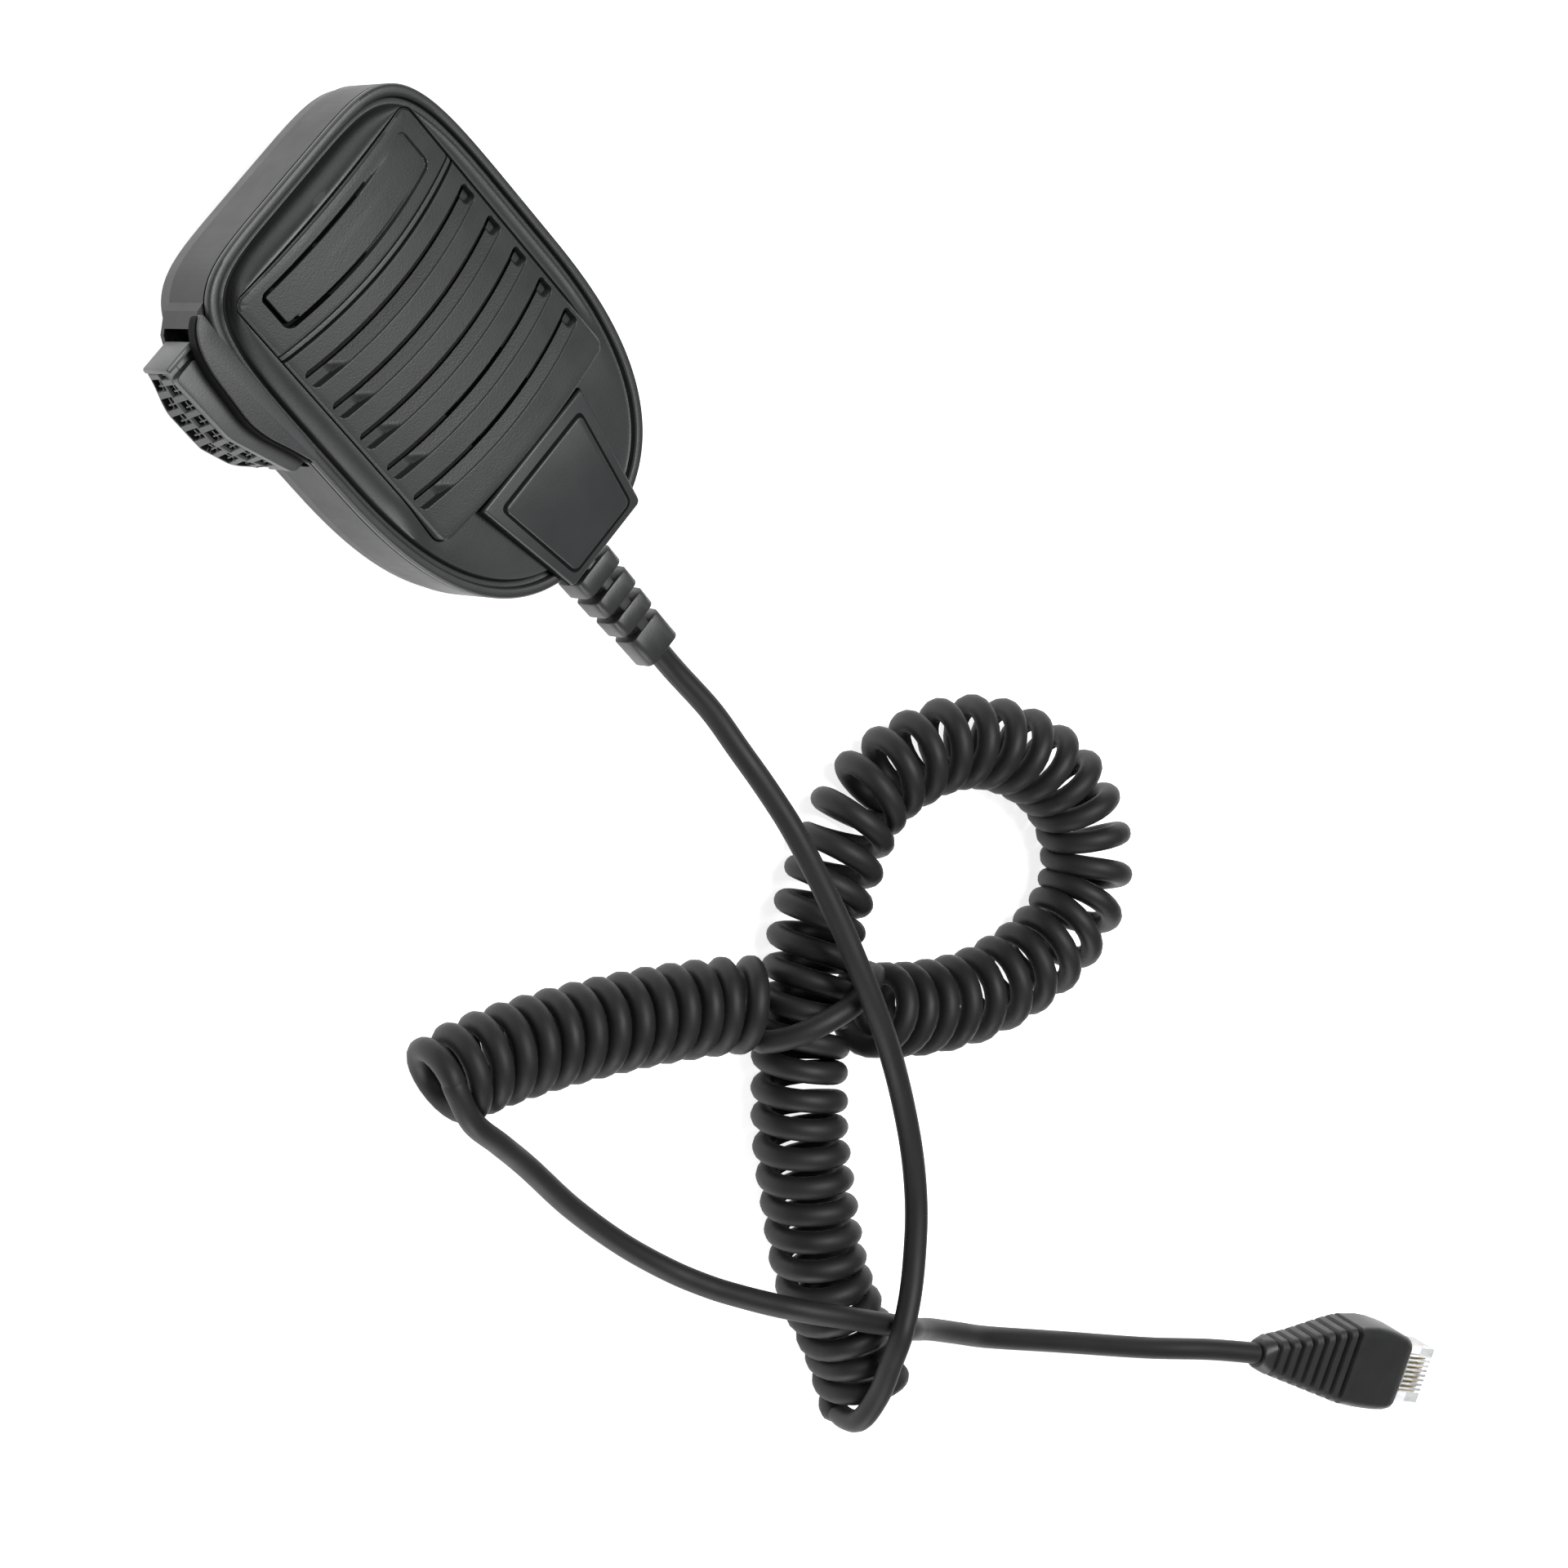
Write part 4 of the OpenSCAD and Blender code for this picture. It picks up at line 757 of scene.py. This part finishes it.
def lever():
    """Push-to-talk lever: front bar, end, body, and the arm with its stop inside the case."""
    z0, z1 = Z_LEVER, Z_LEVER + LEVER_T
    slit = LEVER_UP - 2.3
    full = lever_edge(0)

    def at(y, inset):
        ys = [p[1] for p in lever_edge(inset)]
        xs = [p[0] for p in lever_edge(inset)]
        return float(np.interp(y, ys[::-1], xs[::-1]))

    tail = [(-LEVER_IN - 1.7, LEVER_DOWN + 0.2), (-LEVER_IN - 0.4, LEVER_DOWN),
            (-LEVER_IN, LEVER_DOWN + 1.6)]
    line = bar_edge()
    bar = [(-LEVER_IN - 1.2, slit), (line[0][0], slit), line[1], line[2],
           (-LEVER_IN - 1.9, LEVER_DOWN - 0.1), (-LEVER_IN + 1.3, LEVER_DOWN - 0.1),
           (-LEVER_IN + 0.6, LEVER_DOWN + 3), (-LEVER_IN - 1, LEVER_BEND - 4)]
    end = [(-LEVER_IN, LEVER_UP), full[0], (at(LEVER_UP - 1, 0), LEVER_UP - 1), (-LEVER_IN, LEVER_UP - 1)]
    body = [(-LEVER_IN, LEVER_UP - 0.3)] + [(x + 2.2, y - 0.3) for x, y in bar_edge()[:3]] + tail
    neck = 18.25
    shells = [
        prism(rounded_poly(bar, 1.3), z1 - BAR_H - 0.1, z1, 0.5, 4),
        prism(end, z0 + 0.05, z1, 0.35, 3),
        prism(body, z0 + 0.05, z1 - BAR_H, 0.2, 2),
        box_shell((-LEVER_IN - 1, 20.5, neck - 1.5), (-20.8, 23.5, neck + 1.5), 0.2),
        box_shell((-24.7, 18.8, neck - 3.2), (-23.8, 25.2, neck + 3.2), 0.2),
    ]
    return make("talk_lever", *joined(shells), smooth_angle=40)


def grip_pad():
    """Grip with square pits and small knobs, on both faces of the lever's bend. The pits' floors are marked
    for near-black painted shade.
    """
    edge = [(p[0] + 0.15, p[1]) for p in bar_edge()]
    edge[0] = (edge[0][0], LEVER_UP - 1.1)
    edge[3] = (-LEVER_IN - 2.6, LEVER_DOWN + 1.9)
    seg = [np.array(p, float) for p in edge]
    lens = [np.linalg.norm(b - a) for a, b in zip(seg, seg[1:])]
    dirs = [(b - a) / n for a, b, n in zip(seg, seg[1:], lens)]
    starts = [0, lens[0], lens[0] + lens[1]]
    total = sum(lens)
    nu, nz = 300, 60
    z0, z1 = Z_LEVER + 0.02, Z_LEVER + LEVER_T - BAR_H - 0.12
    verts, spots = [], set()
    for i in range(nu):
        u = total * i / (nu - 1)
        part = max(k for k in range(3) if u >= starts[k] - 1e-9)
        p = seg[part] + dirs[part] * (u - starts[part])
        d = dirs[0]
        for k in (1, 2):
            w = ease((u - starts[k] + 1) / 2)
            d = d * (1 - w) + dirs[k] * w
        d /= np.linalg.norm(d)
        inward = np.array([-d[1], d[0]])
        for k in range(nz):
            z = z0 + (z1 - z0) * k / (nz - 1)
            depth = 0.0
            pit_shade = False
            for col, zc in enumerate((z0 + 1.65, z1 - 1.6)):
                du = ((u - 0.6 - 1.3 * col) % 3.3) - 1.65
                dz = z - zc
                s = max(abs(du) - 1.05, abs(dz) - 1.2)
                if s < 0.1:
                    pit = 1.05 * ease((0.1 - s) / 0.25)
                    rib = max(ease((0.32 - abs(du - 0.35)) / 0.2) * ease((dz + 1.0) / 0.3),
                              ease((0.3 - abs(dz + 0.15)) / 0.2) * ease((du + 0.9) / 0.3) * 0.8)
                    depth = max(depth, pit * (1 - 0.6 * rib))
                    # Pit floors away from the ribs are painted near-black as shade.
                    pit_shade = pit_shade or (s < -0.05 and rib < 0.5)
            border = min(u, total - u, (z - z0), (z1 - z))
            depth = depth * ease(border / 0.35) + 0.25 * (1 - ease(border / 0.4))
            swell = 2.3 * (1 - (z - z0) / (z1 - z0)) * ease((u + 1) / 9) * ease((total - u + 2) / 8)
            q = p + inward * (depth - swell)
            verts.append((q[0], q[1], z))
            if pit_shade:
                spots.add(tuple(round(float(c), 4) for c in verts[-1]))
    faces = [(i * nz + k, i * nz + k + 1, (i + 1) * nz + k + 1, (i + 1) * nz + k)
             for i in range(nu - 1) for k in range(nz - 1)]
    rim = [k for k in range(nz)] + [i * nz + nz - 1 for i in range(1, nu)] \
        + [(nu - 1) * nz + k for k in range(nz - 2, -1, -1)] + [i * nz for i in range(nu - 2, 0, -1)]
    base = len(verts)
    verts += [(verts[i][0] + 2.0, verts[i][1] + 0.2, verts[i][2]) for i in rim]
    m = len(rim)
    faces += [(rim[k], rim[(k + 1) % m], base + (k + 1) % m, base + k) for k in range(m)]
    faces.append(tuple(base + k for k in range(m - 1, -1, -1)))
    obj = make("talk_grip", verts, faces, smooth_angle=50)
    mark_dark(obj, spots)
    return obj


# --- Strain relief -------------------------------------------------------------------
def strain_relief():
    """Ribbed rubber relief on the cord, with a web through its slots and a flange in the case."""
    rings = []
    start = -BODY_DOWN - 5

    def ring(y, w, h, r):
        rings.append([(x, y, Z_EXIT + z) for x, z in rounded_ring(w, h, r)])

    ring(-BODY_DOWN + 5.5, 8.2, 6.4, 2)
    ring(-BODY_DOWN, 8.2, 6.4, 2)
    ring(start + 0.35, 8.2, 6.4, 2)
    ring(start, 7.6, 5.8, 1.8)
    y = start
    sizes = [(9.6, 7.2), (9.1, 6.85), (8.6, 6.5)]
    for w, h in sizes + [(8.1, 6.15)]:
        length = 3.8 if (w, h) in sizes else 6.4
        ring(y - 0.02, 4.8, 4.8, 2.3)
        ring(y - 1.45, 4.8, 4.8, 2.3)
        y -= 1.45
        ring(y - 0.02, w - 0.5, h - 0.5, 1.5)
        ring(y - 0.1, w - 0.15, h - 0.15, 1.6)
        ring(y - 0.25, w, h, 1.6)
        ring(y - length + 0.4, w - 0.1, h - 0.1, 1.6)
        ring(y - length + 0.25, w - 0.25, h - 0.25, 1.6)
        ring(y - length + 0.15, w - 0.6, h - 0.6, 1.5)
        y += 0.15
        y -= length
    end = y
    ring(end + 0.01, 5.0, 5.0, 2.45)
    ring(end + 0.6, 4.5, 4.5, 2.2)
    shells = [loft(rings)]
    shells.append(box_shell((-1.1, end + 2, Z_EXIT - 2.85), (1.1, start + 0.5, Z_EXIT + 2.85), 0.25))
    flange = [(x, -37.1, Z_EXIT + z) for x, z in rounded_ring(10.6, 8.8, 2)]
    flange2 = [(x, -38.3, Z_EXIT + z) for x, z in rounded_ring(10.6, 8.8, 2)]
    shells.append(loft([flange, flange2]))
    return make("cord_relief", *joined(shells), smooth_angle=36)


# --- Plug ----------------------------------------------------------------------------
plug_matrix = (Matrix.Translation(PLUG_AT) @ Matrix.Rotation(math.radians(PLUG_TURN), 4, "Z")
               @ Matrix.Rotation(math.radians(PLUG_ROLL), 4, "X"))


LATCH_WINDOW = ((30, -3.8, -8), (38.4, 3.8, -3.35))


def cut(obj, shell):
    """The piece less a closed shell."""
    cutter = make("cutter", *shell)
    step = obj.modifiers.new("cut", "BOOLEAN")
    step.object, step.solver = cutter, "EXACT"
    mesh = bpy.data.meshes.new_from_object(obj.evaluated_get(bpy.context.evaluated_depsgraph_get()))
    obj.modifiers.clear()
    obj.data = mesh
    bpy.data.objects.remove(cutter)
    return obj


def plug_boot():
    """Ribbed boot that widens to the plug, with a hood on one side and a window for the latch."""
    rings = []

    def hood(x):
        return 1.5 * ease((x - 4) / 18) * ease((38.5 - x) / 12)

    def ring(x, w, h, r):
        rings.append([(x, y + hood(x) * max(y, 0) / (w / 2), z) for y, z in rounded_ring(w, h, r, 64)])

    def size(x):
        t = min(max((x - 1.2) / 22.8, 0), 1)
        return 6.8 + 8.6 * t, 6.2 + 4.0 * t

    ring(0.02, 5.4, 5.4, 2.6)
    ring(0.3, 6.1, 5.7, 2.7)
    x = 2.2
    ring(1.9, *size(1.9), 2.2)
    for i in range(8):
        w, h = size(x)
        k = 0.35 + 1.0 * i / 7
        ring(x, w, h, 1.9 - 0.4 * i / 7)
        ring(x + 0.12, w - 0.35, h - 0.35, 1.8)
        ring(x + 0.35, w - 1.2 - k, h - 1.2 - k * 0.7, 1.4)
        ring(x + 1.15, w - 1.0 - k, h - 1.0 - k * 0.7, 1.4)
        w, h = size(x + 1.3)
        ring(x + 1.33, w - 0.35, h - 0.35, 1.8)
        ring(x + 1.45, w, h, 1.9 - 0.4 * i / 7)
        x += 2.7
    for t, (dw, dh) in zip((24.2, 27, 30, 33, 35.5, 37, 37.6, 37.9, 38),
                           ((15.2, 10.2), (15.7, 10.4), (16, 10.4), (16.1, 10.4), (15.9, 10.3), (15.3, 9.9),
                            (14.7, 9.3), (14.0, 8.6), (13.3, 8.0))):
        ring(t, dw, dh, 2.0)
    ring(37.9, 12.2, 7.1, 0.5)
    ring(35.5, 12.0, 6.9, 0.4)
    v, f = loft(rings)
    boot = make("plug_boot_cover", *moved((v, f), plug_matrix), smooth_angle=33)
    return cut(boot, moved(box_shell(*LATCH_WINDOW), plug_matrix))


# --- Place the pieces ----------------------------------------------------------------
finish_piece(front_shell(), "case", "shell", "case_plastic", "front_shell")
finish_piece(shoulder_gap(), "case", "shade_black", "soft_rubber")
finish_piece(panel(), "case", "panel", "case_plastic", "grille_panel", "label_plate")
nose_block, nose_seam, nose_cover, nose_gap = nose()
finish_piece(nose_block, "case", "nose", "case_plastic")
finish_piece(nose_seam, "case", "shade_black", "soft_rubber")
finish_piece(nose_gap, "case", "shade_black", "soft_rubber")
finish_piece(nose_cover, "case", "nose", "nose_plastic", "nose_plate")
finish_piece(lever(), "lever", "lever", "lever_plastic", "ptt_lever")
finish_piece(grip_pad(), "lever", "pad", "pad_rubber", "ptt_grip_pad")
finish_piece(strain_relief(), "case", "relief", "soft_rubber", "strain_relief")
boot_piece = finish_piece(plug_boot(), "case", "boot", "soft_rubber", "plug_boot")
spring_node = nodes["ptt_return_spring"]
spring_points = [tuple(c / MM for c in spring_node.matrix_world @ v.co) for v in spring_node.data.vertices]
spring = make("return_spring", spring_points, [tuple(q.vertices) for q in spring_node.data.polygons])
finish_piece(spring, "case", "steel", "steel", "ptt_return_spring")
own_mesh(spring)

CAD_LOOKS = {
    "band": ["centre_band"], "rear": ["rear_cover"], "gasket": ["case_gasket", "capsule_boot"],
    "steel": ["case_screws", "hanger_screw", "board_screws", "clamp_screws", "ptt_hinge_pin"],
    "nickel": ["hanger_stud"], "gold": ["plug_contacts", "hanger_terminal", "capsule_leads"],
    "copper": ["wire_harness", "plug_conductors"], "can": ["microphone_capsule", "filter_capacitors"],
    "cloth": ["acoustic_cloth"], "board": ["circuit_board"],
    "chip": ["board_chips", "ptt_switch_body", "cord_clamp"],
    "nylon": ["cord_header", "harness_plug", "ptt_switch_plunger"], "clear": ["plug_body", "plug_latch"],
    "cord": ["cord_tail", "plug_cord_tail"],
}
BEVELS = {"centre_band": 0.25, "rear_cover": 0.35, "hanger_stud": 0.3, "case_screws": 0.2,
          "circuit_board": 0.1, "plug_body": 0.15, "plug_latch": 0.2, "microphone_capsule": 0.3,
          "filter_capacitors": 0.3,
          "board_chips": 0.1, "ptt_switch_body": 0.2, "cord_clamp": 0.3, "capsule_boot": 0.2}
for look, names in CAD_LOOKS.items():
    for name in names:
        obj = nodes[name]
        obj.data.materials.clear()
        obj.data.materials.append(M[look])
        for polygon in obj.data.polygons:
            polygon.use_smooth = True
        obj.data.set_sharp_from_angle(angle=math.radians(30))
        if name in BEVELS:
            bevel = obj.modifiers.new("edges", "BEVEL")
            bevel.width = BEVELS[name] * MM
            bevel.segments = 3
            bevel.limit_method = "ANGLE"
            bevel.angle_limit = math.radians(35)
            bevel.harden_normals = True

# --- Floor and light -----------------------------------------------------------------
floor_mesh = bpy.data.meshes.new("floor")
floor_mesh.from_pydata([(-4, -4, 0), (4, -4, 0), (4, 4, 0), (-4, 4, 0)], [], [(0, 1, 2, 3)])
floor = bpy.data.objects.new("floor", floor_mesh)
bpy.context.scene.collection.objects.link(floor)
pale = bpy.data.materials.new("pale_floor")
pale.use_nodes = True
pale_shader = pale.node_tree.nodes["Principled BSDF"]
pale_shader.inputs["Base Color"].default_value = (0.9, 0.9, 0.9, 1)
pale_shader.inputs["Roughness"].default_value = 0.9
pale_shader.inputs["Emission Color"].default_value = (1, 1, 1, 1)
pale_shader.inputs["Emission Strength"].default_value = 0.8
floor.data.materials.append(pale)

bpy.context.scene.view_settings.view_transform = "Standard"

world = bpy.data.worlds.new("studio")
bpy.context.scene.world = world
world.use_nodes = True
world.node_tree.nodes["Background"].inputs["Color"].default_value = (1, 1, 1, 1)
world.node_tree.nodes["Background"].inputs["Strength"].default_value = 0.28


def softbox(name, place, target, size, power):
    """Square area light that faces its target."""
    data = bpy.data.lights.new(name, "AREA")
    data.shape = "SQUARE"
    data.size = size
    data.energy = power
    lamp = bpy.data.objects.new(name, data)
    lamp.location = place
    lamp.rotation_euler = (Vector(target) - Vector(place)).to_track_quat("-Z", "Y").to_euler()
    bpy.context.scene.collection.objects.link(lamp)


softbox("overhead", (0.25, 0.1, 1.1), (0, -0.1, 0), 0.6, 14)
softbox("low_left", (-0.75, -0.6, 0.2), (-0.02, 0, 0.01), 0.5, 5)
